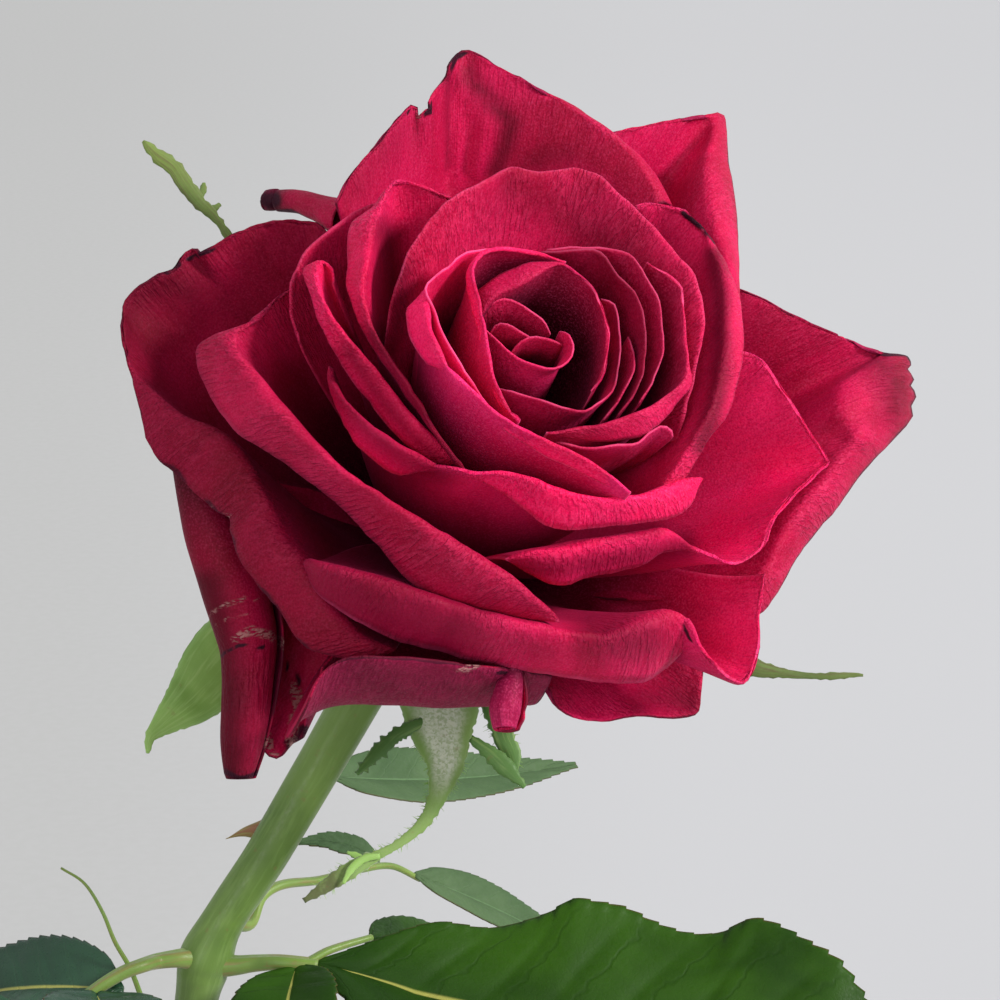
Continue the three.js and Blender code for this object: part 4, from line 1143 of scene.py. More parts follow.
@dataclass(frozen=True)
class Petal:
    """One petal, sighted along its rim.

    A rim place is (across, down, height), or, where the rim rolls over, the ridge of the roll
    and then its edge: (across, down, height, edge across, edge down, edge height).
    """

    name: str
    layer: Layer
    spread: float  # degrees from the flower's axis, at the root
    lean: float  # the same, at the rim
    rim: tuple[RimPlace, ...]
    marks: tuple[Mark, ...] = ()
    tone: float = 1.0  # painted light and shade: how much lighter or darker its skin is painted than its layer's
    ripple: float = 0.45  # millimetres that the surface waves near its rim
    nick: float = 0.28  # millimetres that its rim dips and rises
    reach: float = 0.38  # how far each end of its side profile keeps its own direction
    bulge: float = 0.35  # how far a roll swings past its ridge
    root_width: float = 0.75  # part of the rim's angle that the root takes
    root_flare: float = 1.0  # how much wider than its root it sets out
    calm: float = 5.0  # millimetres of the rim, to each side, whose small bends stay near it
    bend_from: float = 0.72  # where along the side those bends begin
    column: float = 1.0  # width of a column, in millimetres
    rows: int = 26
    roll_rows: int = 10
    least_columns: int = 8
    skin_length: float = 50.0  # rough length in millimetres, for its wrinkles
    crowding: float = 1.35  # how much its rows crowd towards the rim
    least_roll: float = 0.8  # millimetres that a roll counts as, at least
    lip: float = 0.3  # millimetres of roll where the rim doesn't roll
    waves: tuple[tuple[float, float, float, float, float | None], ...] = (
        # millimetres across, waves along, seed, strength, and from where along the side
        (9.0, 2.2, 0.0, 1.0, None), (3.5, 4.0, 9.0, 0.5, None), (1.8, 6.0, 5.0, 0.35, 0.8),
    )

    def build(self) -> bpy.types.Object:
        """Makes the petal.

        Returns:
            The object.
        """
        ridges = [FLOWER.sighted(*place[:3]) for place in self.rim]
        edges = [FLOWER.sighted(*place[3:]) if len(place) > 3 else ridge.copy()
                 for place, ridge in zip(self.rim, ridges)]
        rolled = any(len(place) > 3 for place in self.rim)
        angles = unwound(FLOWER.angle_of(ridge) for ridge in ridges)
        lengths = [0.0]
        for a, b in zip(ridges, ridges[1:]):
            lengths.append(lengths[-1] + (b - a).length)
        width = lengths[-1]
        first, last = angles[0], angles[-1]
        middle = (first + last) / 2
        flare = self.root_flare * (1 - abs(last - first) / TAU)
        root_height, root_radius, thickness = self.layer.value
        spread, lean = math.radians(self.spread), math.radians(self.lean)
        rows = self.rows + (self.roll_rows if rolled else 0)
        split = self.rows / rows
        seed = sum(map(ord, self.name)) * 1.7
        creases = [mark for mark in self.marks if mark.kind is MarkKind.CREASE]

        def station(travel: float) -> tuple[int, float]:
            """Which stretch of the rim a distance along it falls in, and how far along that."""
            stretch = min(max(bisect_left(lengths, travel) - 1, 0), len(lengths) - 2)
            return stretch, (travel - lengths[stretch]) / max(lengths[stretch + 1] - lengths[stretch], TINY)

        def calmed(line: list[Vector], travel: float) -> Vector:
            """A rim without its small bends, at a distance along it."""
            reach = min(self.calm, travel, width - travel)
            taken = [sum(station(travel + reach * k / 3)) for k in (-3, -2, -1, 0, 1, 2, 3)]
            return sum((catmull_rom(line, at) for at in taken), Vector()) / len(taken)

        @cache
        def column(u: float) -> tuple[tuple[Vector, ...], tuple[Vector, ...], Vector, Vector, Vector]:
            """Control points of the side and the roll, the way out, and the rim's small bends."""
            travel = u * width
            stretch, part = station(travel)
            ridge, edge = calmed(ridges, travel), calmed(edges, travel)
            ridge_bend = catmull_rom(ridges, stretch + part) - ridge
            edge_bend = catmull_rom(edges, stretch + part) - edge
            angle = angles[stretch] + (angles[stretch + 1] - angles[stretch]) * part
            even = first + (last - first) * u
            root_out = FLOWER.outward(middle + (even - middle) * self.root_width)
            start_out = FLOWER.outward(even + (even - middle) * flare)
            out = FLOWER.outward(angle)
            start = FLOWER.receptacle + FLOWER.way * root_height + root_out * root_radius
            start_way = FLOWER.way * math.cos(spread) + start_out * math.sin(spread)
            end_way = FLOWER.way * math.cos(lean) + out * math.sin(lean)
            reach = self.reach * (ridge - start).length
            swing = max((edge - ridge).length, self.least_roll) * self.bulge
            if (edge - ridge).length < self.lip:
                edge = ridge + end_way * self.lip
            side = (start, start + start_way * reach, ridge - end_way * reach, ridge)
            return side, (ridge, ridge + end_way * swing, edge), out, ridge_bend, edge_bend

        def rule(u: float, v: float) -> Vector:
            """A place on the petal."""
            side, roll, out, ridge_bend, edge_bend = column(u)
            t = min(v / split, 1.0)
            if v <= split or not rolled:
                place = bezier(side, 1 - (1 - t) ** self.crowding)
                place += ridge_bend * smooth(self.bend_from, 1.0, t)
            else:
                t_roll = (v - split) / (1 - split)
                place = bezier(roll, t_roll) + ridge_bend.lerp(edge_bend, t_roll)
            wave = 0.0
            for across, turns, shift, strength, begin in self.waves:
                bend = noise.noise(Vector((u * width / across, v * turns, seed + shift)))
                wave += strength * bend * (1.0 if begin is None else smooth(begin, 1.0, t))
            dip = noise.noise(Vector((u * width / 2.6, seed, 3.0))) * self.nick * smooth(0.86, 1.0, t)
            place = place + out * (wave * self.ripple * smooth(0.2, 1.0, t)) + FLOWER.way * dip
            for mark in creases:
                place = place + SIGHT.forward * (mark.depth * mark.strength(place) * smooth(0.3, 0.6, t))
            return place

        sheet = Sheet(f"petal_{self.name}", max(self.least_columns, round(width / self.column)), rows,
                      thickness, (width, self.skin_length), values=skin_values(self.marks))
        return sheet.build(rule, FLOWER.way - FLOWER.outward(middle))


@dataclass(frozen=True)
class CurledPetal:
    """A petal, or a part of one, rolled up along its length."""

    name: str
    layer: Layer
    middle: tuple[tuple[float, float, float, float], ...]  # across, down, height, radius in mm
    start: float  # degrees round the roll where its inner edge lies; 0 is the view's right
    turn: float  # degrees that it is rolled up
    marks: tuple[Mark, ...] = ()
    tone: float = 1.0  # painted light and shade: how much lighter or darker its skin is painted than its layer's
    tighten: float = 0.35  # part of the radius that is lost towards the inner edge
    faces_out: bool = False  # its upper face is on the outside of the roll
    thickness: float = 0.5
    columns: int = 56
    rows: int = 70

    def build(self) -> bpy.types.Object:
        """Makes the roll.

        Returns:
            The object.
        """
        line = Curve([FLOWER.sighted(*place[:3]) for place in self.middle])
        radii = Curve([Vector((place[3], 10.0 * i, 0.0)) for i, place in enumerate(self.middle)])
        seed = sum(map(ord, self.name)) * 0.7

        def rule(u: float, v: float) -> Vector:
            """A place on the roll."""
            way = line.way(v)
            side = squared(SIGHT.right, way)
            front = way.cross(side)
            front = front if front.dot(SIGHT.forward) < 0 else -front
            angle = math.radians(self.start + self.turn * u)
            wave = noise.noise(Vector((u * 3.0, v * 5.0, seed)))
            radius = radii.at(v).x * (1 - self.tighten * (1 - u)) * (1 + 0.10 * wave)
            return line.at(v) + (side * math.cos(angle) + front * math.sin(angle)) * radius

        sheet = Sheet(f"petal_{self.name}", self.columns, self.rows, self.thickness,
                      (radii.at(0.5).x * TAU, line.length), values=skin_values(self.marks))
        inwards = line.at(0.45) - rule(0.5, 0.45)
        return sheet.build(rule, -inwards if self.faces_out else inwards)


# The last number of each petal paints light and shade into its skin: below 1 where it lies in shade, above 1
# where it is lit. Its shade marks paint soft shade on single places.
PETALS: tuple[Petal, ...] = (
    Petal("heart_scroll", Layer.HEART, 10, -8, (
        (513, 352, 45), (521, 342, 46.5), (533, 337, 47), (547, 338, 47), (562, 345, 46),
    ), tone=0.78),
    Petal("heart_fold", Layer.HEART, 12, -6, (
        (491, 331, 46), (497, 324, 47), (508, 324, 47.5), (520, 331, 47), (532, 338, 46),
    ), tone=0.8),
    Petal("heart_front", Layer.HEART, 14, -4, (
        (484, 328, 46), (494, 337, 46), (511, 352, 46), (529, 363, 46.5), (547, 369, 47),
        (561, 367, 47.5), (570, 359, 48), (573, 346, 48), (570, 336, 47.5), (560, 331, 46),
    ), tone=1.1),
    Petal("heart_back", Layer.HEART, 14, -8, (
        (479, 322, 46.5), (482, 310, 47.5), (500, 299, 49), (512, 300, 49), (529, 309, 48.5),
        (544, 323, 47), (550, 335, 45),
    ), tone=0.9),
    Petal("cup_back", Layer.CUP, 16, -4, (
        (479, 318, 47), (486, 305, 48.5, 476, 299, 47.2), (498, 296, 49.7, 486, 286, 48),
        (514, 288, 50.6, 503, 274, 48.9), (531, 280, 51.3, 521, 266, 50), (548, 270, 51.8, 543, 263, 51),
        (560, 264, 52), (571, 269, 52), (586, 282, 51.5), (597, 298, 51), (604, 316, 50.5),
        (608, 337, 50), (607, 355, 49), (600, 378, 47.5), (590, 392, 46),
    ), tone=0.95),
    Petal("cup_front", Layer.CUP, 16, -2, (
        (499, 388, 45), (511, 392, 46), (533, 397, 46.5), (551, 404, 47), (568, 409, 47),
        (586, 408, 47), (600, 401, 47), (611, 391, 47.5), (619, 368, 48.5), (622, 345, 49),
        (619, 316, 49.5), (613, 303, 49.5), (601, 299, 49),
    ), marks=(
        shade(17, ((620, 300), (623, 345), (617, 380)), full=0.6),
    ), tone=0.85),
    Petal("cup_right_low", Layer.CUP, 17, -1, (
        (605, 420, 45), (619, 405, 46.5), (629, 385, 48), (634, 369, 48.5), (633, 352, 48.5),
        (626, 337, 48),
    ), tone=0.7),
    Petal("cup_right", Layer.CUP, 18, -2, (
        (540, 253, 50), (565, 251, 51), (594, 250, 51.5), (606, 257, 51.5), (620, 275, 51.5),
        (633, 289, 51), (642, 307, 51), (646, 330, 50.5), (645, 351, 50), (642, 373, 49),
        (633, 391, 48), (619, 414, 46),
    ), tone=0.46),
    Petal("cup_far", Layer.CUP, 19, -1, (
        (547, 250, 50), (588, 246, 51), (619, 250, 51.5), (633, 254, 51.5), (639, 264, 51.5),
        (651, 284, 51), (660, 307, 50.5), (663, 330, 50), (662, 355, 49.5), (654, 379, 48.5),
        (640, 402, 47),
    ), tone=0.75),
    Petal("ring_right", Layer.RING, 21, 4, (
        (645, 265, 50), (663, 276, 50.5), (679, 289, 50.5), (681, 301, 50.5), (684, 323, 50),
        (685, 344, 50), (687, 366, 49.5), (683, 382, 49, 690, 384, 47.5),
        (669, 396, 48.5, 676, 404, 46), (651, 410, 48, 660, 422, 45), (628, 419, 47.5, 645, 434, 44),
        (601, 425, 47, 625, 440, 43.5), (576, 430, 46.5, 592, 441, 43.5), (546, 435, 45.5),
    ), tone=1.05),
    Petal("ring_low", Layer.RING, 22, 8, (
        (551, 440, 43.5), (565, 444, 43.5), (592, 448, 43.5), (619, 445, 44), (637, 442, 44),
        (651, 432, 44.5), (662, 426, 44.5), (672, 430, 44), (673, 436, 43),
    ), tone=0.95),
    Petal("ring_inner_left", Layer.RING, 17, -3, (
        (565, 264, 50.5), (547, 257, 51), (520, 250, 51.5), (494, 249, 51.5), (480, 253, 51.5),
        (472, 266, 51.3, 467, 270, 50.3), (474, 283, 51, 467, 284, 49.6), (478, 303, 50.3, 471, 305, 48.8),
        (483, 328, 49.4, 476, 330, 48), (487, 352, 48.4, 481, 354, 47), (496, 383, 47.2, 490, 385, 46),
        (506, 404, 46.6, 500, 407, 45.6), (513, 416, 46), (519, 423, 45),
    ), tone=1.3, rows=22),
    Petal("ring_left", Layer.RING, 19, 0, (
        (490, 249, 50), (479, 250, 50.5), (466, 253, 51), (451, 263, 51), (433, 278, 51),
        (427, 289, 51), (438, 317, 50), (449, 345, 49), (469, 378, 48), (490, 405, 46.5),
        (504, 419, 46),
    ), tone=1.36),
    Petal("ring_front", Layer.RING, 22, 6, (
        (431, 287, 48), (427, 292, 49.5, 420, 297, 48), (430, 312, 50, 408, 309, 47),
        (430, 328, 50, 408, 329, 46.5),
        (437, 347, 49.7, 413, 345, 46.2), (444, 362, 49.3, 427, 363, 46.2), (453, 376, 49, 441, 370, 46.6),
        (468, 390, 48.6, 456, 385, 46.8), (484, 403, 48.2, 470, 401, 46.5), (500, 416, 47.8, 488, 417, 46),
        (520, 427, 47.4, 509, 433, 45.4), (550, 442, 47, 538, 452, 44.5),
        (588, 460, 46, 576, 470, 43.8), (613, 478, 45, 605, 484, 43), (630, 493, 43),
    ), tone=1.85),
    Petal("back_tall", Layer.SHOULDER, 24, 36, (
        (386, 350, 38), (386, 329, 41), (391, 304, 44), (399, 276, 47), (417, 236, 49.5),
        (437, 212, 50), (451, 199, 50), (480, 182, 50), (510, 166, 50), (525, 167, 50), (553, 170, 50),
        (577, 168, 50), (600, 176, 50.5), (640, 212, 50.5), (672, 249, 50.5), (690, 271, 50.5),
        (699, 289, 50), (703, 309, 49.5), (703, 332, 48.5), (698, 360, 47), (690, 400, 44),
        (680, 440, 40),
    ), marks=(
        shade(24, ((402, 268), (396, 320), (390, 350)), full=0.7),
        shade(62, ((510, 185), (570, 212), (620, 250), (650, 300)), full=0.45),
    ), tone=0.94),
    Petal("right_tall", Layer.SHOULDER, 26, 20, (
        (634, 209, 45.5), (652, 206, 46), (672, 209, 46.5), (690, 217, 47), (703, 229, 47.5),
        (712, 250, 48, 717, 247, 47), (719, 275, 48, 729, 272, 46), (724, 300, 48, 738, 297, 45.5),
        (725, 330, 47.5, 742, 330, 44.5), (720, 368, 46.5, 740, 368, 43.5), (708, 412, 45, 727, 414, 42),
        (688, 446, 43, 702, 449, 40.5), (672, 474, 40, 683, 478, 38.5), (655, 500, 37),
    ), marks=(
        dry(3, ((684, 213), (703, 228), (713, 243))),
        shade(17, ((714, 255), (722, 300), (722, 350), (716, 400), (700, 445)), full=0.85),
        crease(6, ((704, 232), (702, 260), (700, 300), (695, 350)), 0.5),
    ), tone=1.15),
    Petal("left_tall", Layer.SHOULDER, 26, 24, (
        (450, 198, 46), (428, 190, 46.5), (409, 184, 46.5), (394, 182, 46.5),
        (382, 205, 46.5, 372, 207, 45), (373, 235, 46.5, 351, 229, 44), (366, 270, 46, 345, 270, 43),
        (365, 300, 45.5, 349, 298, 43), (376, 332, 44.5, 367, 335, 42.5),
        (397, 367, 43.5, 388, 370, 42), (422, 408, 42.5, 416, 411, 41), (447, 448, 41), (464, 471, 40),
    ), marks=(
        shade(26, ((386, 230), (390, 270), (394, 310)), full=0.7),
        shade(28, ((375, 335), (400, 380), (430, 422), (458, 462)), full=0.7),
    ), tone=1.12),
    Petal("left_second", Layer.SHOULDER, 28, 30, (
        (334, 285, 41), (333, 272, 41.5), (322, 262, 41.5), (318, 285, 42, 305, 270, 39.5),
        (329, 312, 42.5, 314, 300, 39.5), (345, 333, 42.5, 325, 333, 39),
        (370, 363, 42, 346, 372, 38.5), (392, 392, 41.5, 368, 400, 38), (411, 415, 41, 390, 427, 38),
        (430, 436, 40, 414, 450, 37.5), (455, 463, 38.5, 445, 468, 37),
    ), marks=(
        shade(26, ((350, 352), (380, 396), (410, 432), (445, 465)), full=0.65),
    ), tone=1.45),
    Petal("left_third", Layer.MIDDLE, 32, 26, (
        (300, 340, 33), (290, 296, 37), (302, 254, 39.5), (318, 238, 40.5), (343, 220, 41.5),
        (362, 209, 42), (380, 204, 42),
    ), tone=0.82),
    Petal("front_wide", Layer.SHOULDER, 50, 26, (
        (331, 368, 36.5), (334, 385, 37.5, 331, 392, 36), (355, 412, 39, 343, 421, 36),
        (388, 437, 40, 364, 450, 36), (416, 455, 40.5, 396, 474, 36), (438, 466, 41, 424, 471, 39),
        (458, 471, 41), (480, 473, 41, 478, 480, 39), (504, 473, 41.5, 502, 494, 37.5),
        (530, 478, 41.5, 522, 508, 36.5), (556, 487, 41.5, 548, 526, 36),
        (580, 495, 41.5, 585, 528, 36), (606, 499, 41, 612, 525, 36), (632, 497, 40.5, 645, 522, 36),
        (660, 489, 39.5, 675, 516, 35.5), (685, 480, 38.5, 692, 502, 35.5), (701, 479, 37),
    ), marks=(
        shade(34, ((332, 375), (340, 395), (370, 430), (410, 462), (440, 472)), full=0.75),
    ), tone=1.85),
    Petal("left_band", Layer.MIDDLE, 62, 36, (
        (300, 300, 33), (291, 291, 34), (270, 308, 34), (250, 324, 34), (234, 343, 34, 200, 344, 29),
        (258, 376, 34.5, 202, 377, 28), (288, 412, 35.5, 231, 425, 28.5),
        (325, 452, 36.5, 275, 457, 29.5), (371, 490, 37, 328, 494, 30), (420, 520, 37, 374, 540, 30),
        (470, 549, 36, 418, 587, 29), (515, 581, 34, 470, 607, 28), (545, 607, 31.5, 520, 619, 28),
        (558, 620, 30),
    ), tone=0.67),
    Petal("right_wide", Layer.MIDDLE, 62, 36, (
        (735, 352, 36), (750, 356, 35.5), (765, 368, 35), (780, 390, 33), (794, 412, 32.5),
        (813, 439, 31.5), (827, 462, 30), (815, 473, 30), (798, 488, 30.5), (782, 505, 30.5),
        (769, 525, 30), (763, 545, 29), (749, 558, 28.5), (730, 564, 28.5), (707, 555, 30),
        (684, 543, 32, 682, 549, 31), (665, 530, 34, 662, 552, 31), (638, 534, 34.5, 638, 567, 29.5),
        (600, 541, 34.5, 598, 577, 29), (560, 549, 34, 560, 584, 28.5),
        (530, 554, 33.5, 528, 573, 29.5), (505, 560, 32),
    ), marks=(
        shade(22, ((530, 542), (600, 534), (655, 530)), full=0.7),
        shade(26, ((508, 564), (560, 567), (600, 562), (640, 555), (684, 546)), full=0.8),
    ), tone=2.0),
    Petal("bottom_band", Layer.MIDDLE, 70, 40, (
        (306, 560, 24, 308, 566, 22.5), (320, 563, 27, 314, 584, 22.5), (342, 569, 28.5, 330, 602, 22.5),
        (378, 579, 29.5, 356, 621, 22.5), (422, 592, 30, 400, 642, 22.5), (480, 613, 30, 460, 656, 22),
        (540, 625, 29.5, 525, 670, 21.5), (600, 631, 29, 588, 679, 21), (645, 616, 29, 640, 682, 20.5),
        (668, 611, 28.5, 668, 664, 21), (684, 620, 28, 690, 643, 24), (699, 646, 26.5), (714, 665, 25),
        (730, 679, 23.5), (742, 683, 22.5), (753, 668, 22.5), (757, 640, 24), (759, 612, 25.5),
        (765, 575, 27),
    ), marks=(
        crease(9, ((698, 716), (701, 698), (694, 672), (687, 650)), -0.8),
        shade(120, ((310, 585), (380, 600), (450, 620)), full=0.85),
        shade(60, ((450, 620), (540, 645)), full=0.5),
        shade(60, ((595, 635), (645, 640)), full=0.8),
        dry(3, ((678, 616), (688, 630), (693, 643))),
    ), tone=1.25),
    Petal("guard_left", Layer.GUARD, 80, 46, (
        (330, 240, 31), (317, 225, 31), (300, 223, 30.5), (285, 222, 30.5), (265, 224, 29.5),
        (250, 230, 28.5),
        (227, 240, 27), (212, 250, 26), (200, 255, 25.5), (195, 249, 25), (184, 256, 24.5), (174, 272, 23.5),
        (160, 277, 23), (140, 288, 21.5), (126, 303, 20.5), (125, 330, 20), (131, 368, 19.5),
        (158, 396, 20.5, 138, 406, 19), (186, 418, 21.5, 148, 442, 18), (214, 428, 22.5, 161, 460, 17.5),
        (236, 445, 23, 176, 473, 17), (252, 468, 23.5, 202, 499, 17.5), (261, 487, 23.5, 218, 511, 18),
        (268, 500, 23.5, 231, 517, 18.5), (275, 513, 23, 232, 530, 18.5), (290, 540, 22.5, 241, 560, 18),
        (308, 566, 22, 260, 589, 17.5), (330, 598, 21, 282, 615, 17), (352, 626, 20, 302, 643, 16),
        (374, 643, 19.5, 332, 655, 16.5), (396, 650, 19, 366, 660, 17),
    ), marks=(
        shade(50, ((125, 335), (135, 300), (165, 285), (188, 290)), full=0.55),
        crease(9, ((172, 272), (170, 292), (167, 318)), 0.5),
        crease(8, ((129, 319), (152, 321), (181, 318)), 0.3),
        scar(2.5, ((213, 506), (225, 513), (233, 517))),
        dry(4, ((186, 258), (200, 254), (214, 249))),
        dry(3, ((165, 275), (186, 258))),
    ), tone=0.46),
    Petal("guard_low_left", Layer.GUARD, 75, 85, (
        (190, 470, 12), (208, 520, 8), (224, 570, 4), (238, 620, 0), (248, 680, -4),
        (254, 725, -7), (264, 750, -8), (278, 758, -8), (290, 745, -6), (302, 738, -4), (306, 715, 0),
        (316, 690, 4), (322, 668, 8),
    ), marks=(
        scar(9, ((294, 690), (299, 704), (295, 722), (291, 740))),
        scar(5, ((268, 738), (270, 750), (276, 756))),
        dry(7, ((284, 746), (296, 742), (304, 728))),
        dry(5, ((286, 664), (294, 676), (298, 684))),
        crease(9, ((286, 655), (283, 690), (272, 735)), 0.9),
        crease(8, ((304, 664), (302, 700), (292, 742)), 0.8),
    ), tone=0.78),
    Petal("guard_low", Layer.GUARD, 96, -6, (
        (307, 706, 17), (321, 675, 20), (340, 661, 22), (365, 656, 24), (400, 657, 24), (430, 660, 24),
        (460, 664, 23.5), (490, 668, 22.5), (512, 668, 21), (535, 672, 19), (552, 676, 17),
    ), marks=(
        scar(3, ((455, 671), (470, 667), (481, 664))),
        dry(3, ((496, 671), (505, 671))),
    ), tone=0.68, reach=0.55),
    Petal("guard_low_right", Layer.GUARD, 84, 72, (
        (551, 690, 8), (555, 704, 7.5), (575, 717, 7), (598, 721, 7), (626, 716, 8), (650, 716, 8.5),
        (672, 717, 8.5), (696, 712, 9), (700, 690, 11), (703, 665, 13),
    ), marks=(
        shade(42, ((650, 700), (695, 705)), full=0.7),
    ), tone=1.25),
    Petal("guard_right", Layer.GUARD, 80, 48, (
        (738, 290, 36), (774, 309, 35), (812, 327, 33.5), (850, 343, 32), (879, 355, 31),
        (868, 366, 31.5, 908, 356, 27), (858, 374, 32, 911, 364, 26.4), (853, 380, 32, 907, 370, 26),
        (850, 387, 32, 914, 378, 25.4), (848, 395, 32, 910, 387, 25), (847, 403, 32, 915, 394, 24.4),
        (847, 412, 31.6, 909, 406, 24.4), (848, 420, 31, 911, 417, 24), (847, 430, 30.5, 898, 432, 24.5),
        (846, 438, 30, 884, 447, 24.5), (832, 462, 29, 861, 472, 24),
        (812, 487, 28, 838, 505, 23), (790, 518, 27, 817, 533, 22), (772, 548, 25, 797, 559, 21),
        (754, 580, 23, 768, 602, 20), (738, 600, 22, 750, 618, 19),
    ), marks=(
        crease(20, ((866, 386), (872, 405), (880, 424)), 1.7),
        crease(10, ((864, 360), (843, 374), (835, 394), (838, 415), (856, 436), (880, 444)), -1.0),
        shade(40, ((880, 366), (896, 386), (894, 410)), full=0.6),
        dry(3.5, ((879, 355), (908, 356), (912, 366), (913, 392), (911, 418))),
        dry(2.5, ((902, 368), (904, 392), (900, 410)), full=0.6),
    ), tone=0.93),
    Petal("guard_top_right", Layer.GUARD, 76, 44, (
        (600, 150, 43), (612, 135, 43), (655, 126, 42.5), (706, 118, 42), (712, 128, 42, 722, 116, 40),
        (704, 160, 42, 727, 151, 38.5), (704, 200, 42, 732, 190, 38), (712, 235, 42, 737, 240, 38),
        (725, 275, 42, 739, 289, 38.5), (727, 300, 41, 740, 316, 37.5),
    ), tone=1.05),
    Petal("guard_top", Layer.GUARD, 72, 46, (
        (337, 207, 39), (347, 186, 40), (358, 170, 41), (375, 148, 41.5), (393, 126, 42),
        (404, 114, 42), (412, 107, 42), (416, 108, 42), (418, 120, 41), (423, 113, 42), (430, 112, 42),
        (429, 104, 42.5), (435, 93, 42.5), (446, 80, 43), (449, 67, 43), (456, 56, 43), (467, 53, 43),
        (480, 59, 43.5), (515, 77, 44), (540, 91, 44.5),
        (563, 104, 45, 564, 100, 44.5), (590, 122, 45.5, 593, 118, 44.5),
        (612, 140, 45.5, 618, 138, 44.5), (634, 160, 45.5, 642, 158, 44),
        (648, 182, 45, 660, 181, 43.5), (658, 208, 44, 672, 207, 42.5),
    ), marks=(
        shade(60, ((345, 200), (370, 165), (400, 132)), full=0.4),
        crease(13, ((448, 80), (447, 107), (445, 144), (445, 185)), 1.4),
        crease(11, ((450, 68), (472, 100), (491, 121), (481, 142), (477, 168)), -1.1),
        shade(20, ((468, 76), (488, 98), (512, 123), (506, 150), (496, 172)), full=0.7),
        shade(26, ((525, 162), (565, 154)), full=0.45),
        shade(9, ((447, 75), (446, 110), (446, 170)), full=0.5),
        dry(5, ((449, 69), (455, 56), (466, 53))),
        dry(4, ((406, 113), (416, 107))),
        dry(3.5, ((423, 113), (431, 112), (429, 104))),
        scar(3, ((418, 121), (419, 116))),
    ), tone=0.95),
)

CURLED: tuple[CurledPetal, ...] = (
    CurledPetal("low_left_roll", Layer.GUARD, (
        (186, 440, 14, 2.4), (196, 478, 13, 2.8), (207, 512, 11.5, 3.5), (225, 560, 9, 4.3),
        (241, 606, 5.5, 4.7),
        (249, 642, 2.5, 5.0), (249, 672, 0, 4.8), (247, 705, -2, 4.4), (243.5, 738, -5, 4.0),
        (241, 760, -7, 3.6),
        (240, 771, -8, 3.1), (240, 778, -8.4, 2.0),
    ), -165.0, 520.0, marks=(
        shade(36, ((205, 590), (218, 650), (222, 700), (224, 770)), full=1.0),
        scar(6.5, ((236, 638), (250, 630), (262, 633), (274, 637), (286, 645)), full=0.8),
        scar(3.2, ((211, 614), (222, 606), (238, 600), (256, 599)), full=0.55),
        scar(2.2, ((216, 626), (230, 617), (250, 612)), full=0.5),
        dry(3.4, ((218, 660), (229, 650), (240, 645), (262, 647))),
        scar(4, ((265, 735), (268, 750), (266, 762))),
        dry(6, ((218, 766), (240, 779), (262, 771))),
    ), tighten=0.3, faces_out=True, tone=0.58),
    CurledPetal("low_drip", Layer.GUARD, (
        (515, 662, 21, 0.8), (514, 676, 20, 1.4), (510, 692, 19, 2.15), (507, 708, 18, 2.5),
        (506, 720, 17.5, 2.35),
        (506, 729, 17.2, 1.7),
    ), -150.0, 500.0, tighten=0.5, columns=36, rows=40, tone=1.2),
    CurledPetal("curled_tip", Layer.GUARD, (
        (266, 201, 22, 1.35), (284, 200, 24, 1.5), (302, 202, 27, 1.65), (322, 208, 30, 2.1),
        (348, 219, 33, 3.1),
    ), -120.0, 420.0, marks=(
        dry(14, ((264, 201), (276, 200))),
        dry(5, ((272, 211), (292, 210), (318, 224))),
    ), tighten=0.3, columns=40, rows=40, faces_out=True, tone=0.75),
)


@dataclass(frozen=True)
class Bloom:
    """All the petals, each finished for its layer and painted lighter or darker for the light and shade on
    it.
    """

    slot: str = "rose_petal"
    node: str = "bloom"

    def build(self) -> list[bpy.types.Object]:
        """Makes and dresses the petals.

        Returns:
            The petals.
        """
        # The deep colours and the spans of shade towards the root paint shade into the bloom's hollows; the
        # inner petals' are darkest.
        inner = (
            PetalFinish("petal_inner_face", deep=(0.048, 0.0002, 0.005), rim_amount=0.55, crepe_depth=0.09,
                        root_shade=(0.45, 0.93)),
            PetalFinish("petal_inner_back", deep=(0.10, 0.0006, 0.012), dark=(0.45, 0.0018, 0.046),
                        light=(0.66, 0.010, 0.102), rim_amount=0.55, crepe_depth=0.10, root_shade=(0.35, 0.85)),
        )
        outer = (
            PetalFinish("petal_outer_face", rim_amount=0.25, root_shade=(0.10, 0.58)),
            PetalFinish("petal_outer_back", deep=(0.10, 0.0006, 0.012), dark=(0.40, 0.002, 0.045),
                        light=(0.58, 0.007, 0.085), rim_amount=0.2),
        )
        guard = (
            PetalFinish("petal_guard_face", dark=(0.40, 0.0006, 0.034), light=(0.62, 0.004, 0.074),
                        rim_amount=0.0, root_shade=(0.05, 0.50), dried_rim=0.75, crepe_depth=0.15),
            PetalFinish("petal_guard_back", deep=(0.10, 0.001, 0.018), dark=(0.24, 0.003, 0.040),
                        light=(0.38, 0.010, 0.075), rim_amount=0.0, dried_rim=0.75, crepe_depth=0.15),
        )
        pairs = {Layer.HEART: inner, Layer.CUP: inner, Layer.RING: inner, Layer.SHOULDER: outer,
                 Layer.MIDDLE: outer, Layer.GUARD: guard}

        @cache
        def skins(layer: Layer, tone: float) -> list[bpy.types.Material]:
            """A layer's finishes at a level of painted lighting, its inner face's first."""
            return [finish.with_painted_lighting(tone).build() for finish in pairs[layer]]

        return [dress(petal.build(), self.slot, (self.node,), *skins(petal.layer, petal.tone))
                for petal in (*PETALS, *CURLED)]


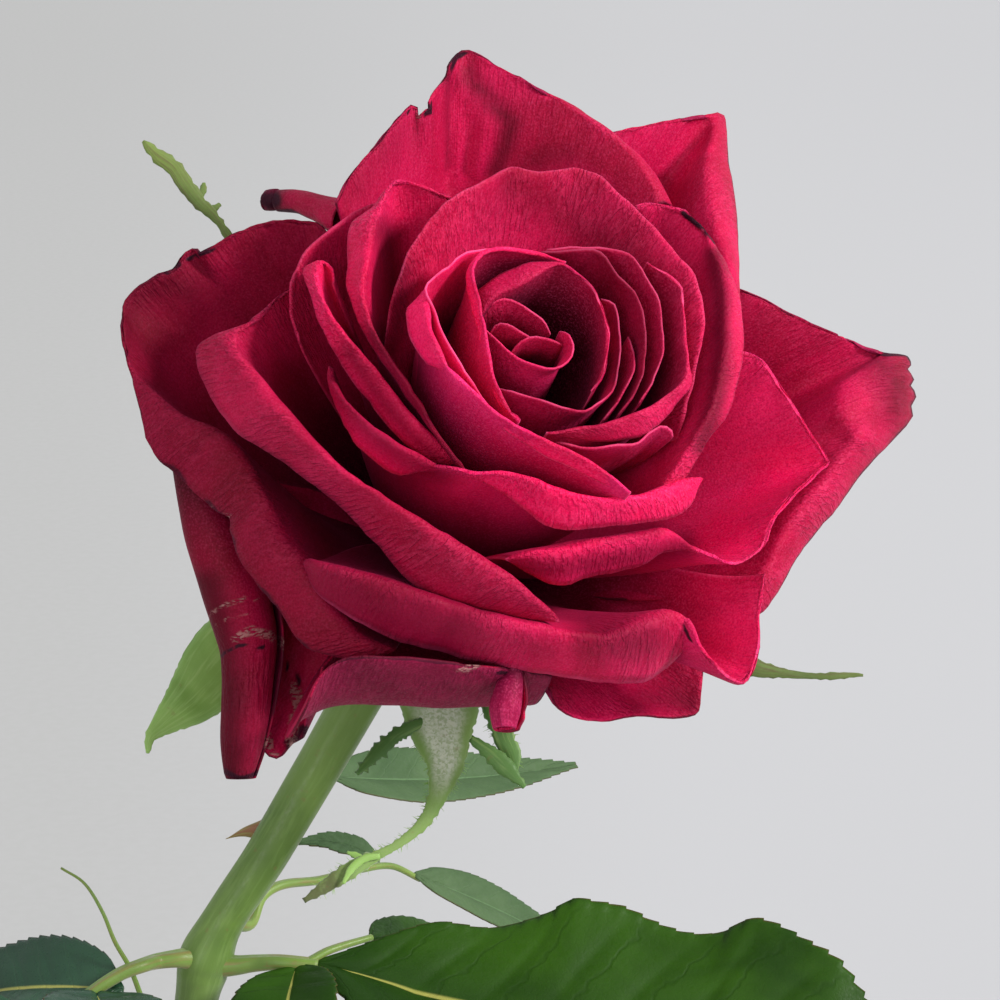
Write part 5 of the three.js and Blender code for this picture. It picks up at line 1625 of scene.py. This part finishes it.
# ------------------------------------------------------------------ calyx
@dataclass(frozen=True)
class Sepal:
    """A sepal, or one of its lobes, sighted along its middle."""

    name: str
    middle: tuple[tuple[float, float, float, float], ...]  # across, down, height, half width in mm
    rooted: bool = True  # it sets out from the hip
    cup: float = 0.25  # how far its sides stand back from its middle, of its half width
    fringe: float = 0.18  # millimetres that its edge is frayed
    thickness: float = 0.5
    columns: int = 14
    rows: int = 90
    root_radius: float = 4.0
    root_height: float = -3.0

    @cached_property
    def line(self) -> Curve:
        """Its middle."""
        places = [FLOWER.sighted(*place[:3]) for place in self.middle]
        if self.rooted:
            places[0] = FLOWER.at(FLOWER.angle_of(places[0]), self.root_radius, self.root_height)
        return Curve(places)

    @cached_property
    def widths(self) -> Curve:
        """Its half width, as the X of a curve with the same stretches."""
        knots = [self.line.travel[i * SAMPLES] for i in range(len(self.middle))]
        return Curve([Vector((place[3], travel, 0.0)) for place, travel in zip(self.middle, knots)])

    def surface(self, s: float, v: float) -> Vector:
        """A place on it.

        Args:
            s: From -1 at one edge to 1 at the other.
            v: From 0 at its root to 1 at its tip.

        Returns:
            The place, in millimetres.
        """
        way = self.line.way(v)
        side = way.cross(SIGHT.forward).normalized()
        back = side.cross(way)
        back = back if back.dot(SIGHT.forward) > 0 else -back
        half = max(self.widths.at(v).x, 0.15)
        fray = noise.noise(Vector((v * self.line.length * 1.3, 3.0 * (s > 0), len(self.name))))
        half += self.fringe * fray * smooth(0.7, 1.0, abs(s)) * 2.0
        return self.line.at(v) + side * (s * half) + back * (half * self.cup * s * s)

    def build(self) -> bpy.types.Object:
        """Makes the sepal.

        Returns:
            The object.
        """
        sheet = Sheet(f"sepal_{self.name}", self.columns, self.rows, self.thickness,
                      (2 * self.widths.at(0.4).x, self.line.length))
        return sheet.build(lambda u, v: self.surface(2 * u - 1, v), -SIGHT.forward)


SEPALS: tuple[Sepal, ...] = (
    Sepal("upper_left", (
        (380, 480, -4, 4.5), (300, 370, 2, 3.2), (248, 268, 8, 0.7), (230, 238, 9, 0.55), (214, 216, 10, 0.6),
        (200, 203, 11, 0.95), (187, 187, 12, 1.15), (174, 168, 13, 1.15), (157, 155, 14, 0.95),
        (143, 141, 15, 0.25),
    ), fringe=0.4),
    Sepal("left", (
        (392, 560, -9, 4.5), (300, 600, -14, 5.2), (230, 655, -16, 5.6), (192, 698, -17, 3.9),
        (163, 724, -18, 1.7), (150, 738, -18, 0.7), (148, 753, -18, 0.25),
    ), fringe=0.1),
    Sepal("lower", (
        (425, 600, -9, 4.5), (440, 660, -13, 5.8), (440, 700, -15, 5.8), (442, 735, -16.4, 4.3),
        (445, 763, -17.6, 2.7),
        (438, 794, -19, 1.35), (424, 822, -20, 0.85), (404, 840, -21, 0.6), (386, 851, -22, 0.55),
        (366, 861, -23, 0.95),
        (346, 873, -24, 1.15), (326, 886, -25, 0.9), (304, 901, -26, 0.2),
    ), fringe=0.22, rows=170),
    Sepal("lower_right", (
        (455, 590, -9, 4.5), (480, 650, -14, 4), (497, 700, -16, 2.6), (503, 735, -17, 1.5),
        (512, 755, -18, 1.3), (515, 774, -19, 0.25),
    ), fringe=0.25),
    Sepal("right", (
        (470, 560, -8, 4.5), (600, 600, -9, 4.2), (700, 645, -9, 2.6), (752, 667, -9, 1.4),
        (782, 673, -9, 0.7),
        (812, 676, -9, 0.4), (834, 676, -8.6, 0.48), (850, 675, -8.3, 0.35), (863, 675, -8, 0.08),
    ), fringe=0.15),
)
LOBES: tuple[Sepal, ...] = tuple(
    Sepal(f"lobe_{name}", middle, rooted=False, fringe=fringe, columns=8, rows=rows)
    for name, fringe, rows, middle in (
        ("dark_arrow", 0.2, 40, ((470, 738, -16.6, 0.5), (486, 750, -16.8, 0.9), (503, 765, -17.2, 1.35),
                                 (525, 787, -18, 0.2))),
        ("toothed", 0.5, 50, ((428, 720, -16.9, 0.6), (400, 733, -17.2, 0.95), (378, 752, -17.4, 1.0),
                              (357, 774, -17.8, 0.2))),
        ("tip_left", 0.1, 24, ((366, 860, -23.2, 0.35), (357, 856, -23.2, 0.45), (347, 852, -23.2, 0.1))),
        ("tip_right", 0.1, 30, ((380, 856, -22.0, 0.35), (366, 858, -22.2, 0.5), (352, 868, -22.8, 0.5),
                                (343, 884, -23.8, 0.12))),
        ("brown_tooth", 0.15, 20, ((198, 199, 11, 0.4), (203, 190, 11, 0.5), (204, 183, 11, 0.15))),
        ("brown_hook", 0.15, 20, ((208, 210, 10, 0.4), (215, 208, 10, 0.45), (220, 204, 10, 0.15))),
    )
)


@dataclass(frozen=True)
class Calyx:
    """The hip under the bloom with its fringed sepals."""

    slot: str = "rose_calyx"
    node: str = "calyx"
    outline: tuple[tuple[float, float], ...] = (
        (3.5, -13.2), (3.9, -13), (4.7, -11.6), (5.4, -10), (6.0, -8), (6.2, -6), (6.0, -4), (5.6, -2.5),
        (5.3, -0.4),
        (5.0, 1.2), (4.2, 2.1), (2.2, 2.7), (0.1, 2.8),
    )
    hairs: int = 150
    hair_length: float = 0.9  # millimetres
    hair_radius: float = 0.05
    hair_tip: float = 0.01
    seed: int = 7

    def hip(self) -> bpy.types.Object:
        """Makes the swelling under the petals.

        Returns:
            The object.
        """
        profile = Curve([Vector((radius, 0.0, height)) for radius, height in self.outline])

        def rule(u: float, v: float) -> Vector:
            """A place on the hip."""
            spot = profile.at(v)
            ribbed = 1 + 0.015 * math.cos(5 * u * TAU)
            return FLOWER.at(u * TAU, spot.x * ribbed, spot.z)

        return tube("calyx_hip", 60, 40, rule, (36.0, 15.0))

    def fringe(self) -> bpy.types.Object:
        """Makes the fine hairs along the edges of the hanging sepal and its neighbour.

        Returns:
            The object.
        """
        draw = random.Random(self.seed)
        named = {sepal.name: sepal for sepal in SEPALS}
        bm = bmesh.new()
        for count in range(self.hairs):
            sepal = named["lower" if count % 3 else "lower_right"]
            v = draw.uniform(0.42, 0.98)
            s = draw.choice((-1.0, 1.0))
            foot = sepal.surface(s, v)
            way = (foot - sepal.surface(s * 0.6, v)).normalized()
            way += sepal.line.way(v) * draw.uniform(-0.1, 0.8)
            way = (way - SIGHT.forward * draw.uniform(-0.3, 0.6)).normalized()
            length = self.hair_length * draw.uniform(0.5, 1.2)
            turn = way.to_track_quat("Z", "Y").to_matrix().to_4x4()
            place = Matrix.Translation((foot + way * (length * 0.45)) * MM) @ turn
            bmesh.ops.create_cone(bm, cap_ends=True, segments=5, radius1=self.hair_radius * MM,
                                  radius2=self.hair_tip * MM, depth=length * MM, matrix=place, calc_uvs=False)
        return new_piece("sepal_hairs", bm)

    def build(self) -> list[bpy.types.Object]:
        """Makes and dresses the calyx.

        Returns:
            Its pieces.
        """
        inner = GreenFinish("sepal_downy_face", (0.12, 0.22, 0.04), (0.20, 0.31, 0.08), (0.15, 0.26, 0.06),
                            down_amount=0.72, roughness=0.8, dark_tip=0.9).build()
        outer = GreenFinish("sepal_green_back", (0.12, 0.24, 0.045), (0.20, 0.36, 0.08), (0.30, 0.42, 0.13),
                            down_amount=0.2, roughness=0.6).build()
        fresh = GreenFinish("sepal_light_green", (0.13, 0.26, 0.04), (0.25, 0.42, 0.10), (0.38, 0.55, 0.20),
                            roughness=0.5, relief=0.08).build()
        aged = GreenFinish("sepal_olive_brown", (0.07, 0.115, 0.02), (0.17, 0.24, 0.05), (0.09, 0.05, 0.025),
                           streak_amount=0.6, roughness=0.7, relief=0.08).build()
        deep = GreenFinish("sepal_dark_green", (0.045, 0.12, 0.02), (0.10, 0.22, 0.04), (0.28, 0.40, 0.12),
                           roughness=0.55).build()
        faces = {"upper_left": aged, "right": aged, "lower": inner, "lower_right": deep,
                 "lobe_dark_arrow": deep, "lobe_toothed": deep,
                 "lobe_brown_tooth": aged, "lobe_brown_hook": aged}
        made = [dress(self.hip(), self.slot, (self.node,), outer)]
        for sepal in (*SEPALS, *LOBES):
            made.append(dress(sepal.build(), self.slot, (self.node,), faces.get(sepal.name, fresh), outer))
        made.append(dress(self.fringe(), self.slot, (self.node,), fresh))
        return made


# ------------------------------------------------------------------ stem
@dataclass(frozen=True)
class Stem:
    """The stem with its leafy node and its thorns."""

    slot: str = "rose_stem"
    node: str = "stem"
    radius: float = 3.15
    neck_radius: float = 3.8
    node_at: float = 0.733  # the leafy node's place along the stem
    node_swell: float = 0.9
    node_spread: float = 4.0  # millimetres
    thorns: tuple[tuple[float, float], ...] = ((0.82, 3.0), (0.69, 0.4), (0.63, 3.6), (0.585, 5.3))
    thorn_length: float = 5.0
    thorn_root: float = 1.9  # half its height where it leaves the stem
    thorn_point: float = 0.06
    thorn_flat: float = 0.45  # its width as a part of its height
    thorn_sink: float = 1.0  # how deep its root stands in the stem
    thorn_drop: float = 1.6  # how far its tip hangs
    thorn_arch: float = 0.45
    foot_line: tuple[Place, ...] = ((-8, 0, 5.9), (-4.6, 0, 55), (-1.6, 0, 100), (1.4, 0, 132), (5.4, 0, 160))
    leafy: Place = (206, 958, 0)  # sighted: across, down and the plane y
    upper: Place = (335, 738, 7)
    hip_drop: float = 13.3  # how far under the receptacle it ends
    sides: int = 64
    rows: int = 420

    @cached_property
    def line(self) -> Curve:
        """Its middle."""
        hip_foot = FLOWER.receptacle - FLOWER.way * self.hip_drop
        leafy, upper = SIGHT.on_plane(*self.leafy), SIGHT.on_plane(*self.upper)
        lower = [Vector(place) for place in self.foot_line]
        return Curve([*lower, leafy, leafy.lerp(upper, 0.5), upper, hip_foot - FLOWER.way * 5, hip_foot])

    def girth(self, v: float) -> float:
        """Its radius in millimetres at a part of its length."""
        from_node = (v - self.node_at) * self.line.length / self.node_spread
        swell = self.node_swell * math.exp(-from_node ** 2)
        return self.radius + (self.neck_radius - self.radius) * smooth(self.node_at, 1.0, v) + swell

    def shaft(self) -> bpy.types.Object:
        """Makes the shaft, faintly ribbed, with a cut foot.

        Returns:
            The object.
        """
        seam = Vector((0.0, 1.0, 0.0))

        def rule(u: float, v: float) -> Vector:
            """A place on its skin."""
            along = v * self.line.length
            ribs = 0.035 * math.cos(5 * u * TAU + along * 0.02) + 0.02 * math.cos(11 * u * TAU)
            bumps = 0.05 * noise.noise(Vector((math.cos(u * TAU) * 2, math.sin(u * TAU) * 2, along * 0.08)))
            scar = 0.18 * math.exp(-((along - self.node_at * self.line.length + 1.5) / 0.45) ** 2)
            radius = self.girth(v) + ribs + bumps - scar
            return self.line.at(v) + around(self.line.way(v), seam, u) * radius

        return tube("stem_shaft", self.sides, self.rows, rule, (TAU * self.radius, self.line.length))

    def thorn(self, index: int, at: float, angle: float) -> bpy.types.Object:
        """Makes one thorn, hooked downwards.

        Args:
            index: Its number, for its name.
            at: Its place along the stem.
            angle: Which way round the stem it points, in radians.

        Returns:
            The object.
        """
        out = Vector((math.cos(angle), math.sin(angle), 0.0))
        middle = self.line.at(at)
        foot = middle + out * (self.girth(at) - self.thorn_sink)
        tip = middle + out * (self.girth(at) + self.thorn_length) + Vector((0, 0, -self.thorn_drop))
        bend = foot.lerp(tip, 0.5) + Vector((0.0, 0.0, self.thorn_arch))
        line = Curve([foot, bend, tip])
        up = Vector((0.0, 0.0, 1.0))

        def rule(u: float, v: float) -> Vector:
            """A place on its skin."""
            wide = self.thorn_root * (1 - v) ** 1.5 + self.thorn_point
            return line.at(v) + around(line.way(v), up, u, self.thorn_flat) * wide

        return tube(f"stem_thorn_{index}", 20, 24, rule, (6.0, self.thorn_length))

    def build(self) -> list[bpy.types.Object]:
        """Makes and dresses the stem.

        Returns:
            Its pieces.
        """
        skin = GreenFinish("stem_green", (0.062, 0.125, 0.014), (0.130, 0.220, 0.038), (0.21, 0.33, 0.09),
                           streak_amount=0.22, roughness=0.42, relief=0.04).build()
        ruddy = GreenFinish("thorn_red_brown", (0.20, 0.14, 0.05), (0.26, 0.22, 0.07), (0.22, 0.06, 0.03),
                            streak_amount=0.7, roughness=0.4).build()
        made = [dress(self.shaft(), self.slot, (self.node,), skin)]
        for index, (at, angle) in enumerate(self.thorns, 1):
            made.append(dress(self.thorn(index, at, angle), self.slot, (self.node,), ruddy))
        return made


STEM = Stem()


# ------------------------------------------------------------------ leaves
@dataclass(frozen=True)
class Leaflet:
    """A toothed leaflet between three lines: its upper edge, its midrib and its lower edge."""

    name: str
    upper: tuple[Place, ...]  # sighted: across, down and the plane y, in mm
    rib: tuple[Place, ...]
    lower: tuple[Place, ...]
    teeth: int = 30
    tooth_depth: float = 0.55
    pucker: float = 0.3  # millimetres that the skin swells between the side veins
    pairs: float = 9.0
    slant: float = 0.13
    thickness: float = 0.45
    columns: int = 28
    steps: int = 4  # rows for each tooth

    def lines(self) -> tuple[Curve, Curve, Curve]:
        """Its upper edge, midrib and lower edge."""
        lines = (self.upper, self.rib, self.lower)
        return tuple(Curve([SIGHT.on_plane(*place) for place in places]) for places in lines)

    def build(self) -> bpy.types.Object:
        """Makes the leaflet.

        Returns:
            The object.
        """
        upper, rib, lower = self.lines()
        pitch = rib.length / self.teeth

        def rule(u: float, v: float) -> Vector:
            """A place on the leaflet."""
            s = 2 * u - 1
            near = abs(s)
            middle = rib.at(v)
            edge = (upper if s > 0 else lower).at(v)
            way = rib.way(v)
            face = squared((upper.at(v) - lower.at(v)).cross(way), way)
            face = face if face.z > 0 else -face
            fold = math.fmod((v + 0.5 - near * self.slant) * self.pairs, 1.0)
            swell = (1 - (2 * abs(fold - 0.5)) ** 4) * math.sin(math.pi * min(near, 1.0) ** 0.8)
            saw = math.fmod(v * self.teeth + 1e-4, 1.0) * smooth(0.80, 1.0, near) * smooth(0.0, 0.06, v)
            out = edge - middle
            place = middle.lerp(edge, near) + face * (self.pucker * swell)
            if out.length > 0.2:
                place = place + out.normalized() * (saw * self.tooth_depth) + way * (saw * pitch * 0.35)
            wave = noise.noise(Vector((s * 1.5, v * 5.0, len(self.name))))
            return place + face * (wave * 0.5 * near)

        sheet = Sheet(self.name, self.columns, self.teeth * self.steps, self.thickness,
                      ((upper.at(0.5) - lower.at(0.5)).length, rib.length), rim_part=0.5)
        return sheet.build(rule, Vector((0.0, 0.0, 1.0)))


@dataclass(frozen=True)
class OvalLeaflet(Leaflet):
    """A leaflet given by its stalk, its tip, its half width and how it faces."""

    upper: tuple[Place, ...] = ()
    rib: tuple[Place, ...] = ()
    lower: tuple[Place, ...] = ()
    half: float = 10.0
    facing: Place = (0.0, 0.0, 1.0)
    arch: float = 0.08
    fold: float = 0.25

    def lines(self) -> tuple[Curve, Curve, Curve]:
        """Its upper edge, midrib and lower edge."""
        start, end = (SIGHT.on_plane(*place) for place in self.rib)
        length = (end - start).length
        way = (end - start).normalized()
        face = squared(Vector(self.facing), way)
        side = way.cross(face)
        if side.dot(SIGHT.up) < 0:
            side = -side
        count = 14
        rows: list[list[Vector]] = [[], [], []]
        for i in range(count + 1):
            t = i / count
            width = max(self.half * math.sin(math.pi * t ** 0.72) ** 0.8 * (1 - 0.25 * t), 0.3)
            middle = start.lerp(end, t) + face * (self.arch * length * math.sin(math.pi * t))
            for row, at in zip(rows, (1, 0, -1)):
                row.append(middle + side * (at * width) + face * (abs(at) * width * self.fold))
        return tuple(Curve(row, 6) for row in rows)


@dataclass(frozen=True)
class Stalk:
    """A leaf stalk through sighted places, grooved along its upper side."""

    name: str
    places: tuple[Place, ...]
    radii: tuple[float, float]
    from_stem: float | None = None  # where along the stem it sets out

    def build(self) -> bpy.types.Object:
        """Makes the stalk.

        Returns:
            The object.
        """
        places = [SIGHT.on_plane(*place) for place in self.places]
        if self.from_stem is not None:
            foot = STEM.line.at(self.from_stem)
            out = squared(places[0] - foot, STEM.line.way(self.from_stem))
            places.insert(0, foot + out * (STEM.girth(self.from_stem) * 0.6))
        line = Curve(places)
        thick, thin = self.radii
        up = Vector((0.0, 0.0, 1.0)) if abs(line.way(0.5).z) < 0.8 else Vector((0.0, -1.0, 0.0))

        def rule(u: float, v: float) -> Vector:
            """A place on its skin."""
            groove = 1 - 0.22 * math.exp(-(math.sin(math.pi * u) / 0.22) ** 2)
            flare = 1 + 0.5 * math.exp(-v * line.length / 2.2) * (self.from_stem is not None)
            radius = (thick + (thin - thick) * v) * flare * groove
            return line.at(v) + around(line.way(v), up, u) * radius

        return tube(self.name, 24, max(24, round(line.length * 1.6)), rule, (TAU * thick, line.length))


@dataclass(frozen=True)
class Leaf:
    """One compound leaf: its stalks and its leaflets."""

    slot: str
    node: str
    finish: LeafFinish
    stalks: tuple[Stalk, ...]
    leaflets: tuple[Leaflet, ...]

    def build(self, bark: bpy.types.Material, under: bpy.types.Material) -> list[bpy.types.Object]:
        """Makes and dresses the leaf.

        Args:
            bark: The stalks' finish.
            under: The finish of the leaflets' lower faces.

        Returns:
            Its pieces.
        """
        skin = self.finish.build()
        made = [dress(stalk.build(), self.slot, (self.node,), bark) for stalk in self.stalks]
        made += [dress(leaflet.build(), self.slot, (self.node,), skin, under) for leaflet in self.leaflets]
        return made


LEAVES: tuple[Leaf, ...] = (
    Leaf("rose_leaf_right", "leaf_right",
         LeafFinish("leaf_right_green", (0.010, 0.039, 0.0015), (0.024, 0.077, 0.003),
                    vein=(0.008, 0.030, 0.002), vein_amount=0.30, roughness=0.50, relief=0.05, gloss=0.15), (
        Stalk("leaf_right_stalk", ((235, 965, -1.6), (254, 963, -2.4), (280, 962, -4), (318, 965, -4.2)),
                                   (1.4, 1.1),
              STEM.node_at),
        Stalk("leaf_right_side_stalk", ((308, 962, -4), (330, 950, -2), (372, 937, 2)), (0.7, 0.5)),
    ), (
        Leaflet(
            "leaf_right_leaflet_end",
            ((313, 963, -3.5), (371, 941, -1), (433, 922, 2), (490, 928, 3), (543, 914, 4), (572, 898, 5),
             (591, 900, 5), (623, 906, 5), (655, 922, 4), (687, 933, 3), (719, 933, 3), (741, 922, 3),
             (754, 919, 3),
             (773, 924, 2), (800, 938, 0), (837, 960, -3), (862, 995, -5), (900, 1040, -9)),
            ((316, 965, -4), (334, 968, -4.2), (388, 984, -5), (428, 997, -6), (560, 1022, -8),
             (700, 1040, -9),
             (810, 1050, -10), (903, 1044, -10)),
            ((314, 969, -5), (360, 1010, -14), (440, 1055, -22), (560, 1100, -27), (700, 1120, -27),
             (820, 1095, -20), (902, 1050, -11)),
            teeth=36, tooth_depth=0.32, pucker=0.45, columns=40),
        OvalLeaflet("leaf_right_leaflet_low", rib=((297, 965, -4), (275, 1130, -30)), half=8.5,
                    facing=(-0.2, -0.6, 0.8), teeth=22),
        OvalLeaflet("leaf_right_leaflet_far", rib=((369, 939, 2.2), (540, 1010, 34)), half=7,
                    facing=(0.0, -0.2, 1.0), teeth=20),
    )),
    Leaf("rose_leaf_left", "leaf_left",
         LeafFinish("leaf_left_green", (0.010, 0.042, 0.020), (0.026, 0.082, 0.040), vein=(0.03, 0.08, 0.04),
                    roughness=0.30, relief=0.05), (
        Stalk("leaf_left_stalk", ((179, 958, -3), (157, 961, -4), (143, 965, -7), (120, 974, -9),
                                  (84, 998, -12),
                                  (50, 1030, -14)), (1.3, 0.8), STEM.node_at),
        Stalk("leaf_left_filament", ((143, 1002, -7), (130, 968, -7.6), (115, 942, -7.6), (102, 911, -7),
                                     (84, 883, -6), (61, 868, -5)), (0.42, 0.18)),
    ), (
        OvalLeaflet("leaf_left_leaflet_back", rib=((124, 990, -9.6), (-100, 1020, 2)), half=9.2,
                    facing=(0.1, -0.45, 0.88), teeth=24),
        OvalLeaflet("leaf_left_leaflet_low", rib=((95, 992, -11), (130, 1150, -42)), half=11,
                    facing=(0.3, -0.5, 0.8), teeth=24),
        OvalLeaflet("leaf_left_leaflet_end", rib=((52, 1028, -14), (-150, 1190, -30)), half=16,
                    facing=(-0.2, -0.6, 0.8), teeth=30),
    )),
    Leaf("rose_leaf_back", "leaf_back",
         LeafFinish("leaf_back_green", (0.044, 0.088, 0.034), (0.078, 0.135, 0.058), rib=(0.10, 0.18, 0.08),
                    vein=(0.11, 0.20, 0.09), vein_amount=0.08, roughness=0.7, relief=0.05, gloss=0.25), (
        Stalk("leaf_back_stalk", ((250, 924, 6), (262, 897, 10), (281, 885, 13), (319, 880, 18),
                                  (362, 869, 24),
                                  (392, 866, 28), (420, 879, 30.6)), (0.9, 0.5), STEM.node_at + 0.025),
        Stalk("leaf_back_far_stalk", ((262, 897, 10), (272, 868, 20), (300, 812, 34), (332, 776, 46)),
                                      (0.6, 0.5)),
    ), (
        OvalLeaflet("leaf_back_leaflet_small", rib=((378, 862, 29), (298, 842, 24)), half=2.6,
                    facing=(0.0, -0.5, 0.9), arch=0.12, teeth=10, tooth_depth=0.2),
        OvalLeaflet("leaf_back_leaflet_end", rib=((414, 875, 30), (604, 972, 50)), half=4.6,
                    facing=(0.0, -0.5, 0.85), arch=0.03, teeth=26, tooth_depth=0.2),
        OvalLeaflet("leaf_back_leaflet_far", rib=((332, 778, 46), (576, 766, 70)), half=6.5,
                    facing=(0.0, -0.5, 0.8), arch=-0.04, teeth=24, tooth_depth=0.3),
    )),
)


def build_leaves() -> list[bpy.types.Object]:
    """Makes and dresses the three leaves.

    Returns:
        Their pieces.
    """
    bark = GreenFinish("leaf_stalk_skin", (0.10, 0.18, 0.025), (0.18, 0.28, 0.05), (0.22, 0.13, 0.05),
                       streak_amount=0.6, roughness=0.45).build()
    under = LeafFinish("leaf_underside", (0.12, 0.20, 0.09), (0.19, 0.29, 0.14), vein=(0.24, 0.34, 0.18),
                       roughness=0.6, relief=0.1).build()
    return [piece for leaf in LEAVES for piece in leaf.build(bark, under)]


# ------------------------------------------------------------------ vase and water
@dataclass(frozen=True)
class Vase:
    """The thrown and glazed bud vase."""

    slot: str = "vase_glaze"
    node: str = "vase"
    outline: tuple[tuple[float, float], ...] = (
        (27, 1), (35, 18), (38, 44), (30.4, 74), (16.7, 101), (11.5, 122), (15.5, 150),
    )
    height: float = 150.0
    wall: float = 3.5
    floor: float = 5.0
    foot_radius: float = 26.0
    foot_ring: float = 3.0  # width of the ring that it stands on
    foot_rise: float = 0.8  # how high the middle of its underside stands
    lip_steps: int = 12
    lip_rise: float = 1.2
    throwing_pitch: float = 3.4
    throwing_depth: float = 0.10
    segments: int = 128
    samples: int = 150

    def profile(self) -> list[Vector]:
        """Its section, from the middle of the underside round to the middle of the floor inside.

        Returns:
            Places as (radius, 0, height), in millimetres.
        """
        side = Curve([Vector((radius, 0.0, height)) for radius, height in self.outline])
        outer, inner = [], []
        for i in range(self.samples + 1):
            t = i / self.samples
            place, way = side.at(t), side.way(t)
            out = Vector((way.z, 0.0, -way.x))
            ring = self.throwing_depth * math.sin(place.z / self.throwing_pitch * TAU)
            ring *= smooth(6, 20, place.z)
            outer.append(place + out * (ring * smooth(self.height - 4, self.height - 12, place.z)
                                        if place.z > self.height - 12 else ring))
            inner.append(place - out * (self.wall - 0.6 * ring))
        inside = [p for p in inner if self.floor + 1.5 < p.z < self.height - 1.5]
        middle = (outer[-1] + inner[-1]) / 2
        across = (inner[-1] - outer[-1]) / 2
        lip = []
        for step in range(1, self.lip_steps):
            turn = math.pi * step / self.lip_steps
            place = middle - across * math.cos(turn) + Vector((0, 0, math.sin(turn) * self.lip_rise))
            lip.append(Vector((place.x, 0.0, min(place.z, self.height))))
        outer = [p for p in outer if p.z < self.height - 1.3]
        ring_inside = self.foot_radius - self.foot_ring
        under = [Vector((0, 0, self.foot_rise)), Vector((ring_inside - 1.2, 0, self.foot_rise)),
                 Vector((ring_inside - 0.4, 0, 0.15)), Vector((ring_inside, 0, 0)),
                 Vector((self.foot_radius - 0.6, 0, 0)), Vector((self.foot_radius, 0, 0.15))]
        corner = inside[0]
        base = [Vector((corner.x - 0.5, 0, self.floor + 0.7)), Vector((corner.x - 2.0, 0, self.floor)),
                Vector((0, 0, self.floor))]
        return [*under, *outer, *lip, *reversed(inside), *base]

    def build(self) -> list[bpy.types.Object]:
        """Makes and dresses the vase.

        Returns:
            Its piece.
        """
        bm = bmesh.new()
        verts = [bm.verts.new(place * MM) for place in self.profile()]
        edges = [bm.edges.new(pair) for pair in zip(verts, verts[1:])]
        bmesh.ops.spin(bm, geom=verts + edges, cent=(0, 0, 0), axis=(0, 0, 1), dvec=(0, 0, 0), angle=TAU,
                       steps=self.segments, use_duplicate=False)
        bmesh.ops.remove_doubles(bm, verts=bm.verts, dist=WELD)
        bmesh.ops.recalc_face_normals(bm, faces=bm.faces)
        put_in_order(bm.verts, lambda vert: vert.co)
        put_in_order(bm.faces, lambda face: face.calc_center_median())
        for face in bm.faces:
            face.smooth = True
        piece = new_piece("vase_body", bm)
        return [dress(piece, self.slot, (self.node,), GlazeFinish().build())]


def finish_water(node: bpy.types.Object) -> None:
    """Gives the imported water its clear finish.

    Args:
        node: The frame's water.
    """
    node.data.materials.clear()
    node.data.materials.append(WaterFinish().build())
    for face in node.data.polygons:
        face.material_index = 0


# ------------------------------------------------------------------ the stage
@dataclass(frozen=True)
class Studio:
    """A pale floor, a soft key light from the right, a weak one from the front and an even sky."""

    floor_half: float = 8.0  # metres
    # name, way towards it, strength, angle in degrees
    lights: tuple[tuple[str, Place, float, float], ...] = (
        ("key", (0.80, -0.36, 0.50), 3.7, 12.0),
        ("fill", (-0.33, -0.91, 0.26), 0.9, 40.0),
    )
    light_colour: Colour = (1.0, 0.975, 0.95)
    sky_colour: Colour = (0.95, 0.97, 1.0)
    sky_strength: float = 0.70

    def camera(self) -> None:
        """Sets the camera at the reference view's eye."""
        data = bpy.data.cameras.new("camera")
        data.sensor_width = 36.0
        data.lens = data.sensor_width * SIGHT.distance / (SIGHT.step * SIGHT.size)
        data.clip_start = 0.01
        camera = bpy.data.objects.new("camera", data)
        camera.location = SIGHT.eye * MM
        camera.rotation_euler = (math.pi / 2 - SIGHT.elevation, 0.0, 0.0)
        bpy.context.scene.collection.objects.link(camera)
        bpy.context.scene.camera = camera

    def build(self) -> None:
        """Lays the floor and sets the lights."""
        bm = bmesh.new()
        bmesh.ops.create_grid(bm, x_segments=1, y_segments=1, size=self.floor_half)
        floor = new_piece("floor", bm)
        floor.data.materials.append(RoomFinish().build())
        floor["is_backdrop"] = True
        for name, way, strength, angle in self.lights:
            data = bpy.data.lights.new(name, "SUN")
            data.energy = strength
            data.angle = math.radians(angle)
            data.color = self.light_colour
            light = bpy.data.objects.new(name, data)
            light.rotation_euler = (-Vector(way)).to_track_quat("-Z", "Y").to_euler()
            bpy.context.scene.collection.objects.link(light)
        world = bpy.data.worlds.new("studio")
        world.use_nodes = True
        background = world.node_tree.nodes["Background"]
        background.inputs["Color"].default_value = (*self.sky_colour, 1.0)
        background.inputs["Strength"].default_value = self.sky_strength
        bpy.context.scene.world = world
        bpy.context.scene.view_settings.view_transform = "Standard"


def write_sizes(cad_box: object) -> None:
    """Lays the CAD box and the visual model's box side by side; nothing is kept.
    """
    boxes = {"cad": cad_box, "visual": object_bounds()}
    plain = {name: [list(map(float, corner)) for corner in box] for name, box in boxes.items()}


def main() -> None:
    """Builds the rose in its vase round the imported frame."""
    logging.basicConfig(level=logging.INFO, format="%(message)s")
    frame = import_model()
    cad_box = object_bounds()
    studio = Studio()
    studio.camera()
    pieces = [*Bloom().build(), *Calyx().build(), *STEM.build(), *build_leaves(), *Vase().build()]
    finish_water(frame["nodes"]["water"])
    for piece in pieces:
        LOG.info("%s: %d faces", piece.name, len(piece.data.polygons))
    studio.build()
    write_sizes(cad_box)


if __name__ == "__main__":
    main()
